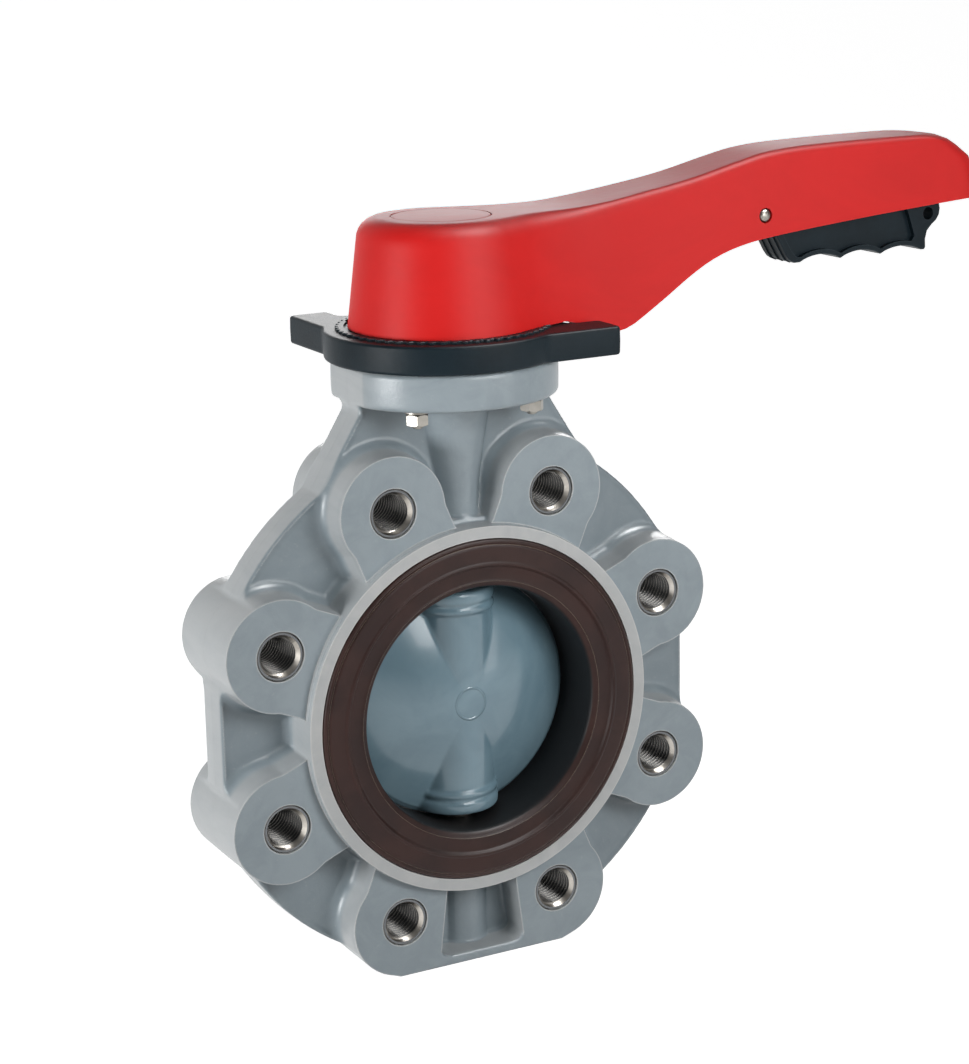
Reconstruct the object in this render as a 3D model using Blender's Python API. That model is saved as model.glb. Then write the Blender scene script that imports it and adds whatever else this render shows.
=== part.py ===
import math

import bmesh
import bpy
from mathutils import Matrix, Vector

MM = 0.001

# Body. Every height below is counted from the bore's axis, which lies BORE_Z over the foot.
BORE_Z = 106.3 * MM
LUG_COUNT = 8
LUG_CIRCLE = 90.0 * MM
LUG_RADIUS = 22.3 * MM
LUG_NECK_HALF = 21.0 * MM
LUG_NECK_END = 70.3 * MM
LUG_DEPTH = 21.9 * MM
RIM_RADIUS = 108.5 * MM
RIM_DEPTH = 8.5 * MM
RIM_WIDTH = 1.2 * MM
WEB_RECESS = 0.5 * MM
SIDE_FLAT = 103.3 * MM
FOOT_HALF = 37.0 * MM
FOOT_BAR = 4.0 * MM
COLLAR_RADIUS = 74.0 * MM
COLLAR_DEPTH = 26.0 * MM
SEAT_RADIUS = 62.2 * MM
SEAT_RECESS = 69.2 * MM
SEAT_STEP = 20.8 * MM

# Neck and top flange.
NECK_HALF = 42.0 * MM
FLANGE_RADIUS = 44.2 * MM
FLANGE_LOW = 123.1 * MM
FLANGE_TOP = 137.4 * MM
UPPER_BOSS = 15.5 * MM
UPPER_BOSS_FOOT = 11.5 * MM
LOWER_BOSS = 12.5 * MM
STEM_BORE_LOW = -95.0 * MM
LOWER_BUSH_TOP = -66.0 * MM
BOSS_START = 70.0 * MM
FLANGE_BOLT = 24.7 * MM
FLANGE_BOLT_RADIUS = 2.4 * MM

# Threaded inserts for M16 stud bolts.
INSERT_RADIUS = 9.6 * MM
THREAD_RADIUS = 6.9 * MM
INSERT_CHAMFER = 1.6 * MM
INSERT_SINK = 0.5 * MM

# Liner, disc and stem.
LINER_FACE = 28.0 * MM
LINER_BORE = 49.7 * MM
DISC_RADIUS = 49.3 * MM
DISC_RIM = 2.0 * MM
DISC_CROWN = 16.4 * MM
HUB_RADIUS = 16.4 * MM
HUB_COLLAR = 17.4 * MM
HUB_HALF = 46.0 * MM
STEM_RADIUS = 8.0 * MM
STEM_LOW = -92.0 * MM
STEM_SHOULDER = 146.0 * MM
STEM_TOP = 177.0 * MM
STEM_SQUARE = 6.0 * MM
BUSH_RADIUS = 11.7 * MM
LOWER_BUSH_RADIUS = 9.9 * MM
BUSH_SEAT = 101.7 * MM
UPPER_BUSH_TOP = 131.0 * MM
RING_THICK = 1.4 * MM

# Notched plate.
PLATE_LOW = 137.7 * MM
PLATE_TOP = 148.9 * MM
PLATE_RADIUS = 46.7 * MM
EAR_NEAR = 23.5 * MM
EAR_FAR = 40.5 * MM
EAR_END = 56.0 * MM
TOOTH_COUNT = 60
TOOTH_TIP = 45.3 * MM
TOOTH_ROOT = 44.1 * MM
TOOTH_HEIGHT = 1.7 * MM
TOOTH_INSIDE = 40.5 * MM
SCREW_SINK_RADIUS = 5.0 * MM
SCREW_SINK = 6.0 * MM
NUT_LOW = 117.0 * MM
SCREW_END = 115.4 * MM

# Handle, trigger and pawl.
GRIP_WALL = 3.2 * MM
GRIP_BASE = 37.0 * MM
GRIP_HALF = 16.2 * MM
GRIP_SWELL = 16.5 * MM
GRIP_FADE = 29.0 * MM
GRIP_JOIN = 17.4 * MM
CAP_RADIUS = 19.2 * MM
CAP_SEAT = 188.8 * MM
HUB_TOP = 191.6 * MM
PIVOT = Vector((138.6, 0.0, 181.9)) * MM
PIN_RADIUS = 2.8 * MM
TRIGGER_HALF = 8.5 * MM
PULL_DROP = 7.1 * MM
PAWL_NOSE = Vector((45.75, 0.0, 152.0)) * MM

# Underside and top of the grip, as x and height along it, in millimetres.
UNDERSIDE = [(-40, 150.6), (25, 150.6), (35, 151.2), (47, 151.2), (68, 142.5), (73, 144.0), (92, 155.0),
             (112, 166.6), (123, 170.2), (138, 172.6), (173, 176.2), (214, 179.4), (256, 182.2)]
CREST = [(-40, 191.6), (45, 191.6), (62, 192.8), (83, 195.6), (105, 199.0), (127, 204.2), (141, 207.2),
         (160, 208.4), (208, 208.9), (256, 208.3)]

# Rings of the grip's outside from the open edge upwards: share of the height, then in millimetres the
# inset at the hub, the inset along the arm and how far the tip has come back.
GRIP_RINGS = [(0.0, 0.0, 0.0, 0.0), (0.45, 2.3, 0.6, 2.6), (0.80, 4.4, 1.2, 8.5), (0.93, 7.4, 2.4, 14.5),
              (1.0, 13.0, 5.2, 25.0)]
GRIP_TIP = 253.6
GRIP_STATIONS = (25, 35, 47, 57, 68, 73, 92, 112, 123, 138, 160, 173, 208)


def clear_scene():
    for old in list(bpy.data.objects):
        bpy.data.objects.remove(old, do_unlink=True)


def finish_material(name, color, roughness, metallic=0.0):
    material = bpy.data.materials.new(name)
    material.use_nodes = True
    shader = material.node_tree.nodes["Principled BSDF"]
    shader.inputs["Base Color"].default_value = (*color, 1.0)
    shader.inputs["Roughness"].default_value = roughness
    shader.inputs["Metallic"].default_value = metallic
    return material


def add_object(name, bm, material=None, location=(0, 0, 0), parent=None):
    bmesh.ops.remove_doubles(bm, verts=bm.verts, dist=1e-6)
    bmesh.ops.recalc_face_normals(bm, faces=bm.faces)
    mesh = bpy.data.meshes.new(name)
    bm.to_mesh(mesh)
    bm.free()
    return add_mesh(name, mesh, material, location, parent)


def add_mesh(name, mesh, material=None, location=(0, 0, 0), parent=None):
    obj = bpy.data.objects.new(name, mesh)
    bpy.context.scene.collection.objects.link(obj)
    obj.location = location
    if parent:
        obj.parent = parent
        obj.matrix_parent_inverse = Matrix.Translation(parent.location).inverted()
    if material:
        mesh.materials.clear()
        mesh.materials.append(material)
        mesh.shade_smooth()
        mesh.set_sharp_from_angle(angle=math.radians(35))
    return obj


def add_axis(name, location):
    axis = bpy.data.objects.new(name, None)
    bpy.context.scene.collection.objects.link(axis)
    axis.location = location
    axis.empty_display_size = 20 * MM
    return axis


def combine(target, operation, *helpers, solver="EXACT"):
    """Adds one Boolean per helper, and hides the helpers."""
    for helper in helpers:
        boolean = target.modifiers.new(helper.name, "BOOLEAN")
        boolean.operation = operation
        boolean.solver = solver
        boolean.object = helper
        helper.hide_render = True
        helper.display_type = "WIRE"


def arc(center, radius, start, end, steps):
    """Points on an arc, in degrees, with both ends."""
    turn = (end - start) / steps
    return [(center[0] + radius * math.cos(math.radians(start + turn * i)),
             center[1] + radius * math.sin(math.radians(start + turn * i))) for i in range(steps + 1)]


def polar(radius, angle):
    return radius * math.cos(math.radians(angle)), radius * math.sin(math.radians(angle))


def prism(bm, outline, low, high, normal="Z"):
    """Extrudes an outline along Z, or an outline in X and Z along Y."""
    if normal == "Z":
        ring = [bm.verts.new((x, y, low)) for x, y in outline]
        shift = (0, 0, high - low)
    else:
        ring = [bm.verts.new((x, low, z)) for x, z in outline]
        shift = (0, high - low, 0)
    floor = bm.faces.new(ring)
    raised = bmesh.ops.extrude_face_region(bm, geom=[floor], use_keep_orig=True)["geom"]
    corners = [item for item in raised if isinstance(item, bmesh.types.BMVert)]
    bmesh.ops.translate(bm, verts=corners, vec=shift)


def turned(bm, profile, steps, axis="Z", closed=False):
    """Spins a profile of radius and height right round Z, or round Y."""
    points = [bm.verts.new((r, 0, h) if axis == "Z" else (r, h, 0)) for r, h in profile]
    edges = [bm.edges.new(pair) for pair in zip(points, points[1:])]
    if closed:
        edges.append(bm.edges.new((points[-1], points[0])))
    direction = (0, 0, 1) if axis == "Z" else (0, 1, 0)
    bmesh.ops.spin(bm, geom=points + edges, cent=(0, 0, 0), axis=direction, angle=math.tau, steps=steps,
                   use_merge=True)


def cylinder(name, radius, low, high, steps, axis="Z", center=(0, 0, 0)):
    bm = bmesh.new()
    turned(bm, [(0, low), (radius, low), (radius, high), (0, high)], steps, axis)
    bmesh.ops.translate(bm, verts=bm.verts, vec=center)
    return add_object(name, bm)


def block(name, low, high):
    bm = bmesh.new()
    prism(bm, [(low[0], low[1]), (high[0], low[1]), (high[0], high[1]), (low[0], high[1])], low[2], high[2])
    return add_object(name, bm)


def placed(helpers):
    for helper in helpers:
        helper.location.z += BORE_Z


def lug_angles():
    return [22.5 + 360.0 / LUG_COUNT * i for i in range(LUG_COUNT)]


def lug_center(angle):
    return polar(LUG_CIRCLE, angle)


# Body ---------------------------------------------------------------------------------------------

def rim_outline():
    right = [(NECK_HALF, FLANGE_LOW + 6 * MM), (41.3 * MM, FLANGE_LOW - 3.5 * MM)]
    right += arc((0, 0), RIM_RADIUS, 57, 31, 5)
    right += [(SIDE_FLAT, 20 * MM), (SIDE_FLAT, -20 * MM)]
    right += arc((0, 0), RIM_RADIUS, -31, -61, 5)
    right.append((FOOT_HALF, -BORE_Z + FOOT_BAR))
    return right + [(-x, z) for x, z in reversed(right)]


def web(name):
    """The plate between the lugs, with a raised lip round its edge on both faces."""
    bm = bmesh.new()
    prism(bm, rim_outline(), -RIM_DEPTH, RIM_DEPTH, "Y")
    bmesh.ops.recalc_face_normals(bm, faces=bm.faces)
    sides = [face for face in bm.faces if abs(face.normal.y) > 0.9]
    for side in sides:
        bmesh.ops.inset_region(bm, faces=[side], thickness=RIM_WIDTH, depth=-WEB_RECESS, use_even_offset=True)
    return add_object(name, bm)


def lug_pads(name):
    """Eight pads: a round end about each hole, and a neck with straight sides that runs in to the collar."""
    bm = bmesh.new()
    for angle in lug_angles():
        bend = math.degrees(math.acos(LUG_NECK_HALF / LUG_RADIUS))
        outline = arc((LUG_CIRCLE, 0), LUG_RADIUS, -90 - bend, 90 + bend, 16)
        outline += [(LUG_NECK_END, LUG_NECK_HALF), (LUG_NECK_END, -LUG_NECK_HALF)]
        part = bmesh.new()
        prism(part, outline, -LUG_DEPTH, LUG_DEPTH, "Y")
        turn = Matrix.Rotation(-math.radians(angle), 3, "Y")
        bmesh.ops.rotate(part, verts=part.verts, cent=(0, 0, 0), matrix=turn)
        single = bpy.data.meshes.new("lug")
        part.to_mesh(single)
        part.free()
        bm.from_mesh(single)
        bpy.data.meshes.remove(single)
    return add_object(name, bm)


def flange(name):
    edge = math.degrees(math.acos(NECK_HALF / FLANGE_RADIUS))
    outline = arc((0, 0), FLANGE_RADIUS, edge, 180 - edge, 14)
    outline += arc((0, 0), FLANGE_RADIUS, 180 + edge, 360 - edge, 14)
    bm = bmesh.new()
    prism(bm, outline, FLANGE_LOW, FLANGE_TOP)
    return add_object(name, bm)


def foot(name):
    outline = [(FOOT_HALF, -BORE_Z), (FOOT_HALF + 8 * MM, -BORE_Z + FOOT_BAR - 0.3 * MM),
               (FOOT_HALF + 4 * MM, -BORE_Z + FOOT_BAR + 1 * MM)]
    outline += [(-x, z) for x, z in reversed(outline)]
    bm = bmesh.new()
    prism(bm, outline, -LUG_DEPTH, LUG_DEPTH, "Y")
    return add_object(name, bm)


def upper_boss(name):
    """Column round the stem, which widens where the bush sits."""
    low, high = BOSS_START, FLANGE_LOW + 3 * MM
    bm = bmesh.new()
    turned(bm, [(0, low), (UPPER_BOSS_FOOT, low), (UPPER_BOSS_FOOT, BUSH_SEAT - 16 * MM),
                (UPPER_BOSS, BUSH_SEAT - 4 * MM), (UPPER_BOSS, high), (0, high)], 24)
    return add_object(name, bm)


def seat_cutter(name):
    bm = bmesh.new()
    half = [(SEAT_RADIUS, SEAT_STEP), (SEAT_RECESS, SEAT_STEP), (SEAT_RECESS, 30 * MM), (0, 30 * MM)]
    turned(bm, [(r, -y) for r, y in reversed(half)] + half, 56, "Y")
    return add_object(name, bm)


def hole_cutters(name, centers, radius, low, high, steps, axis):
    bm = bmesh.new()
    for center in centers:
        part = bmesh.new()
        turned(part, [(0, low), (radius, low), (radius, high), (0, high)], steps, axis)
        bmesh.ops.translate(part, verts=part.verts, vec=center)
        single = bpy.data.meshes.new("hole")
        part.to_mesh(single)
        part.free()
        bm.from_mesh(single)
        bpy.data.meshes.remove(single)
    return add_object(name, bm)


def flange_bolt_centers():
    return [(sx * FLANGE_BOLT, sy * FLANGE_BOLT, 0) for sx in (-1, 1) for sy in (-1, 1)]


def stem_cutter(name):
    """The stem's bore, with the pockets of its two bushes."""
    clear = STEM_RADIUS + 0.6 * MM
    pocket = BUSH_RADIUS + 0.3 * MM
    low_pocket = LOWER_BUSH_RADIUS + 0.3 * MM
    bm = bmesh.new()
    turned(bm, [(0, STEM_BORE_LOW), (low_pocket, STEM_BORE_LOW), (low_pocket, LOWER_BUSH_TOP),
                (clear, LOWER_BUSH_TOP), (clear, BUSH_SEAT), (pocket, BUSH_SEAT), (pocket, 150 * MM),
                (0, 150 * MM)], 24)
    return add_object(name, bm)


def valve_body(material):
    bm = bmesh.new()
    turned(bm, [(0, -COLLAR_DEPTH), (COLLAR_RADIUS, -COLLAR_DEPTH), (COLLAR_RADIUS, COLLAR_DEPTH),
                (0, COLLAR_DEPTH)], 56, "Y")
    body = add_object("valve_body", bm, material)
    holes = [(x, 0, z) for x, z in map(lug_center, lug_angles())]
    added = [web("web"), lug_pads("lug_pads"), flange("flange"), foot("foot"),
             upper_boss("upper_boss"),
             cylinder("lower_boss", LOWER_BOSS, -BORE_Z + 2 * MM, -BOSS_START, 24)]
    cut = [seat_cutter("seat"), stem_cutter("stem_bore"),
           hole_cutters("insert_holes", holes, INSERT_RADIUS + 0.25 * MM, -30 * MM, 30 * MM, 16, "Y"),
           hole_cutters("bolt_holes", flange_bolt_centers(), FLANGE_BOLT_RADIUS + 0.35 * MM, 110 * MM,
                        150 * MM, 12, "Z")]
    combine(body, "UNION", *added, solver="MANIFOLD")
    combine(body, "DIFFERENCE", *cut, solver="MANIFOLD")
    placed([body, *added, *cut])


def lug_inserts(material):
    """Threaded sleeves: one mesh, shared by the eight."""
    end = LUG_DEPTH - INSERT_SINK
    wide = THREAD_RADIUS + INSERT_CHAMFER
    bm = bmesh.new()
    turned(bm, [(wide, -end), (INSERT_RADIUS, -end), (INSERT_RADIUS, end), (wide, end),
                (THREAD_RADIUS, end - INSERT_CHAMFER), (THREAD_RADIUS, -end + INSERT_CHAMFER)], 16, "Y",
           closed=True)
    first = None
    for number, angle in enumerate(lug_angles(), 1):
        x, z = lug_center(angle)
        if first is None:
            first = add_object(f"lug_insert_{number}", bm, material, (x, 0, BORE_Z + z))
        else:
            add_mesh(f"lug_insert_{number}", first.data, material, (x, 0, BORE_Z + z))


def liner(material):
    """Rubber seat: a sleeve with a sealing flange at each end, and a raised bead on each face."""
    flange_edge = SEAT_RECESS - 0.3 * MM
    outside = [(flange_edge, SEAT_STEP + 0.3 * MM), (flange_edge, LINER_FACE - 1.2 * MM),
               (flange_edge - 1.2 * MM, LINER_FACE - 0.6 * MM), (59.5 * MM, LINER_FACE - 0.6 * MM),
               (58.5 * MM, LINER_FACE), (57.0 * MM, LINER_FACE - 0.8 * MM), (52.0 * MM, LINER_FACE - 0.8 * MM),
               (LINER_BORE, LINER_FACE - 2.6 * MM)]
    half = [(SEAT_RADIUS - 0.3 * MM, SEAT_STEP + 0.3 * MM), *outside]
    profile = half + [(r, -y) for r, y in reversed(half)]
    bm = bmesh.new()
    turned(bm, profile, 40, "Y", closed=True)
    sleeve = add_object("liner", bm, material, (0, 0, BORE_Z))
    bore = cylinder("liner_stem_holes", STEM_RADIUS + 0.6 * MM, -70 * MM, 70 * MM, 24)
    combine(sleeve, "DIFFERENCE", bore)
    placed([bore])


# Stem and disc ------------------------------------------------------------------------------------

def disc(material, axis):
    """A lens with a thin rim, crossed by a round hub that has a collar at each end."""
    rows = 7
    crown = [(DISC_RADIUS * i / rows, DISC_RIM + (DISC_CROWN - DISC_RIM) * (1 - (i / rows) ** 1.6))
             for i in range(rows)]
    half = crown + [(DISC_RADIUS - 1.2 * MM, DISC_RIM), (DISC_RADIUS, DISC_RIM * 0.4)]
    bm = bmesh.new()
    turned(bm, [(r, -y) for r, y in half] + [(r, y) for r, y in reversed(half)], 36, "Y")
    plate = add_object("disc", bm, material, (0, 0, BORE_Z), axis)
    barrel = bmesh.new()
    side = [(HUB_COLLAR, HUB_HALF - 1 * MM), (HUB_COLLAR, HUB_HALF - 4.5 * MM),
            (HUB_RADIUS, HUB_HALF - 6.5 * MM)]
    half = [(0, HUB_HALF), (HUB_COLLAR - 1 * MM, HUB_HALF), *side]
    turned(barrel, half + [(r, -z) for r, z in reversed(half)], 28)
    hub = add_object("disc_hub", barrel)
    bore = cylinder("disc_bore", STEM_RADIUS + 0.25 * MM, -60 * MM, 60 * MM, 24)
    combine(plate, "UNION", hub)
    combine(plate, "DIFFERENCE", bore)
    placed([hub, bore])


def seal_heights():
    return {"stem_seal_lower": -58 * MM, "stem_seal_upper": 58 * MM, "stem_seal_top": 92 * MM}


def stem(material, axis):
    """Round below, with a groove for each seal, and square where the handle sits on it."""
    groove = 1.1 * MM
    profile = [(0, STEM_LOW), (STEM_RADIUS - 1 * MM, STEM_LOW), (STEM_RADIUS, STEM_LOW + 1 * MM)]
    for height in sorted(seal_heights().values()):
        profile += [(STEM_RADIUS, height - groove), (STEM_RADIUS - groove, height - groove),
                    (STEM_RADIUS - groove, height + groove), (STEM_RADIUS, height + groove)]
    profile += [(STEM_RADIUS, STEM_SHOULDER), (0, STEM_SHOULDER)]
    bm = bmesh.new()
    turned(bm, profile, 24)
    shaft = add_object("stem", bm, material, (0, 0, BORE_Z), axis)
    a, b = STEM_SQUARE, STEM_SQUARE - 1.2 * MM
    square = bmesh.new()
    outline = [(a, -b), (a, b), (b, a), (-b, a), (-a, b), (-a, -b), (-b, -a), (b, -a)]
    prism(square, outline, STEM_SHOULDER - 4 * MM, STEM_TOP)
    top = add_object("stem_square", square)
    tapped = cylinder("stem_tapped_hole", 3.6 * MM, STEM_TOP - 22 * MM, STEM_TOP + 2 * MM, 12)
    combine(shaft, "UNION", top)
    combine(shaft, "DIFFERENCE", tapped)
    placed([top, tapped])


def ring(name, material, inner, outer, low, high, steps, axis=None, chamfer=0.0):
    bm = bmesh.new()
    turned(bm, [(inner, low), (outer - chamfer, low), (outer, low + chamfer), (outer, high - chamfer),
                (outer - chamfer, high), (inner, high)] if chamfer else
           [(inner, low), (outer, low), (outer, high), (inner, high)], steps, closed=True)
    return add_object(name, bm, material, (0, 0, BORE_Z), axis)


def stem_seals(material, axis):
    for name, height in seal_heights().items():
        section = arc((STEM_RADIUS - 0.15 * MM, height), 0.62 * MM, 0, 300, 5)
        bm = bmesh.new()
        turned(bm, section, 20, closed=True)
        add_object(name, bm, material, (0, 0, BORE_Z), axis)


def bushes(material):
    running = STEM_RADIUS + 0.12 * MM
    ring("upper_bush", material, running, BUSH_RADIUS, BUSH_SEAT + 0.3 * MM, UPPER_BUSH_TOP, 24,
         chamfer=0.6 * MM)
    ring("lower_bush", material, running, LOWER_BUSH_RADIUS, STEM_BORE_LOW + 1 * MM,
         LOWER_BUSH_TOP - 0.3 * MM, 24, chamfer=0.3 * MM)


def retaining_ring(material):
    """Open spring ring over the upper bush."""
    inner, outer = STEM_RADIUS + 0.6 * MM, BUSH_RADIUS - 0.1 * MM
    low = UPPER_BUSH_TOP + 0.5 * MM
    high = low + RING_THICK
    bm = bmesh.new()
    corners = [bm.verts.new((r, 0, z)) for r, z in ((inner, low), (outer, low), (outer, high), (inner, high))]
    edges = [bm.edges.new((corners[i - 1], corners[i])) for i in range(4)]
    bmesh.ops.spin(bm, geom=corners + edges, cent=(0, 0, 0), axis=(0, 0, 1), angle=math.radians(320), steps=18)
    bmesh.ops.holes_fill(bm, edges=[edge for edge in bm.edges if edge.is_boundary], sides=4)
    add_object("retaining_ring", bm, material, (0, 0, BORE_Z))


# Plate and its fasteners --------------------------------------------------------------------------

def ear():
    """One stop ear, pointing along +X, from the round edge on its far side to the one on its near side."""
    soft, tight, corner = 10 * MM, 4 * MM, 2 * MM
    far_x = math.sqrt((PLATE_RADIUS + soft) ** 2 - (EAR_FAR + soft) ** 2)
    near_x = math.sqrt((PLATE_RADIUS + tight) ** 2 - (EAR_NEAR - tight) ** 2)
    far_turn = math.degrees(math.atan2(EAR_FAR + soft, far_x))
    near_turn = math.degrees(math.atan2(EAR_NEAR - tight, near_x))
    points = arc((far_x, -EAR_FAR - soft), soft, 180 - far_turn, 90, 4)
    points += arc((EAR_END - corner, -EAR_FAR + corner), corner, -90, 0, 2)
    points += arc((EAR_END - corner, -EAR_NEAR - corner), corner, 0, 90, 2)
    points += arc((near_x, -EAR_NEAR + tight), tight, -90, -180 - near_turn, 3)
    return points, far_turn, near_turn


def plate_outline():
    """The two ears mirror each other about the line half-way between the handle's two end positions."""
    first, far_turn, near_turn = ear()
    second = [(y, x) for x, y in reversed(first)]
    between = arc((0, 0), PLATE_RADIUS, -near_turn, 90 + near_turn, 14)[1:-1]
    behind = arc((0, 0), PLATE_RADIUS, 90 + far_turn, 360 - far_turn, 22)[1:-1]
    return first + between + second + behind


def notched_plate(material):
    bm = bmesh.new()
    prism(bm, plate_outline(), PLATE_LOW, PLATE_TOP)
    plate = add_object("notched_plate", bm, material, (0, 0, BORE_Z))
    teeth = []
    for i in range(TOOTH_COUNT):
        teeth += [polar(TOOTH_TIP, 360 / TOOTH_COUNT * i), polar(TOOTH_ROOT, 360 / TOOTH_COUNT * (i + 0.5))]
    crown = bmesh.new()
    prism(crown, teeth, PLATE_TOP - 2 * MM, PLATE_TOP + TOOTH_HEIGHT)
    toothed = add_object("plate_teeth", crown)
    inside = cylinder("plate_inside", TOOTH_INSIDE, PLATE_TOP, PLATE_TOP + 5 * MM, 40)
    center = cylinder("plate_center", STEM_RADIUS + 1.5 * MM, 130 * MM, 155 * MM, 24)
    holes = hole_cutters("plate_bolt_holes", flange_bolt_centers(), FLANGE_BOLT_RADIUS + 0.35 * MM, 130 * MM,
                         155 * MM, 12, "Z")
    sinks = hole_cutters("plate_bolt_sinks", flange_bolt_centers(), SCREW_SINK_RADIUS, PLATE_TOP - SCREW_SINK,
                         155 * MM, 12, "Z")
    combine(plate, "UNION", toothed)
    combine(plate, "DIFFERENCE", inside, center, holes, sinks)
    placed([toothed, inside, center, holes, sinks])


def plate_bolts(material):
    """Socket screws from above, each with a washer and a nut under the flange. Each kind shares one mesh."""
    head = PLATE_TOP - SCREW_SINK + 0.2 * MM
    screw = bmesh.new()
    turned(screw, [(0, head + 2.4 * MM), (2.0 * MM, head + 2.4 * MM), (2.0 * MM, head + 4.8 * MM),
                   (4.25 * MM, head + 4.8 * MM), (4.25 * MM, head), (FLANGE_BOLT_RADIUS, head),
                   (FLANGE_BOLT_RADIUS, SCREW_END), (0, SCREW_END)], 12)
    washer = bmesh.new()
    turned(washer, [(2.75 * MM, 121.7 * MM), (5.0 * MM, 121.7 * MM), (5.0 * MM, 122.8 * MM),
                    (2.75 * MM, 122.8 * MM)], 12, closed=True)
    nut = bmesh.new()
    hexagon = arc((0, 0), 4.7 * MM, 0, 300, 5)
    prism(nut, hexagon, NUT_LOW, NUT_LOW + 4.4 * MM)
    for name, bm in (("plate_screw", screw), ("plate_washer", washer), ("plate_nut", nut)):
        shared = None
        for number, (x, y, _) in enumerate(flange_bolt_centers(), 1):
            if shared is None:
                shared = add_object(f"{name}_{number}", bm, material, (x, y, BORE_Z)).data
            else:
                add_mesh(f"{name}_{number}", shared, material, (x, y, BORE_Z))
    bore = cylinder("nut_bore", FLANGE_BOLT_RADIUS + 0.3 * MM, 110 * MM, 125 * MM, 12)
    for number, (x, y, _) in enumerate(flange_bolt_centers(), 1):
        cutter = bore if number == 1 else add_mesh(f"nut_bore_{number}", bore.data)
        cutter.location = (x, y, BORE_Z)
        combine(bpy.data.objects[f"plate_nut_{number}"], "DIFFERENCE", cutter)


# Handle -------------------------------------------------------------------------------------------

def along(curve, x):
    """Reads a curve of x and height, both in millimetres, at x in metres."""
    x /= MM
    for (x0, z0), (x1, z1) in zip(curve, curve[1:]):
        if x <= x1:
            return (z0 + (z1 - z0) * (x - x0) / (x1 - x0)) * MM
    return curve[-1][1] * MM


def half_width(x):
    return GRIP_HALF + GRIP_SWELL * math.exp(-(x - GRIP_JOIN) / GRIP_FADE)


def grip_ring(hub_inset, arm_inset, tip_back, wall):
    """One closed outline round the grip, half of it on each side of the middle plane."""
    leave = math.degrees(math.acos(GRIP_JOIN / GRIP_BASE))
    tip = (GRIP_TIP - tip_back) * MM - wall
    arm_inset = arm_inset * MM + wall
    hub_inset = hub_inset * MM + wall
    half = [(x * (1 - hub_inset / GRIP_BASE), y * (1 - hub_inset / GRIP_BASE))
            for x, y in arc((0, 0), GRIP_BASE, 180, leave, 12)]
    for x in GRIP_STATIONS:
        blend = max(0.0, min(1.0, (x * MM - GRIP_JOIN) / (60 * MM)))
        half.append((x * MM, half_width(x * MM) - hub_inset * (1 - blend) - arm_inset * blend))
    end = GRIP_HALF - arm_inset
    half += [(tip - end + end * math.cos(math.radians(a)), end * math.sin(math.radians(a)))
             for a in (90, 72, 54, 36, 18)]
    half.append((tip, 0))
    return half + [(x, -y) for x, y in reversed(half[1:-1])]


def grip_solid(name, wall=0.0, material=None, axis=None):
    """The grip's outside, or with a wall the hollow inside it, which runs out below."""
    bm = bmesh.new()
    rings = []
    for share, hub_inset, arm_inset, tip_back in GRIP_RINGS:
        if wall and share in (0.45, 0.93):
            continue
        corners = []
        for x, y in grip_ring(hub_inset, arm_inset, tip_back, wall):
            low, high = along(UNDERSIDE, x), along(CREST, x) - 1.1 * wall
            if wall and share == 0.0:
                low -= 8 * MM
            corners.append(bm.verts.new((x, y, low + (high - low) * share)))
        rings.append(corners)
    count = len(rings[0])
    for lower, upper in zip(rings, rings[1:]):
        for i in range(count):
            bm.faces.new((lower[i], lower[(i + 1) % count], upper[(i + 1) % count], upper[i]))
    for end in (rings[0], rings[-1]):
        for i in range(count // 2):
            far = (count - i) % count
            quad = (end[i], end[i + 1], end[count - i - 1], end[far])
            bm.faces.new(tuple(dict.fromkeys(quad)))
    bmesh.ops.triangulate(bm, faces=bm.faces)
    return add_object(name, bm, material, (0, 0, 0), axis)


def handle_shell(material, axis):
    """A thin shell, open below, with a boss that holds the square of the stem and a round seat for the cap."""
    shell = grip_solid("handle_shell", 0.0, material, axis)
    hollow = grip_solid("handle_hollow", GRIP_WALL)
    boss = cylinder("handle_boss", 15 * MM, 151.4 * MM, HUB_TOP - 1 * MM, 28)
    fit = STEM_SQUARE + 0.3 * MM
    socket = block("handle_socket", (-fit, -fit, 140 * MM), (fit, fit, STEM_TOP + 0.3 * MM))
    bm = bmesh.new()
    turned(bm, [(0, 170 * MM), (4.4 * MM, 170 * MM), (4.4 * MM, 180 * MM), (10.5 * MM, 180 * MM),
                (10.5 * MM, CAP_SEAT), (CAP_RADIUS + 0.3 * MM, CAP_SEAT), (CAP_RADIUS + 0.3 * MM, 200 * MM),
                (0, 200 * MM)], 28)
    seat = add_object("handle_cap_seat", bm)
    pin_hole = cylinder("handle_pin_hole", PIN_RADIUS + 0.3 * MM, -25 * MM, 25 * MM, 12, "Y", PIVOT)
    combine(shell, "DIFFERENCE", hollow)
    combine(shell, "UNION", boss)
    combine(shell, "DIFFERENCE", socket, seat, pin_hole)
    placed([shell, hollow, boss, socket, seat, pin_hole])


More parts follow.
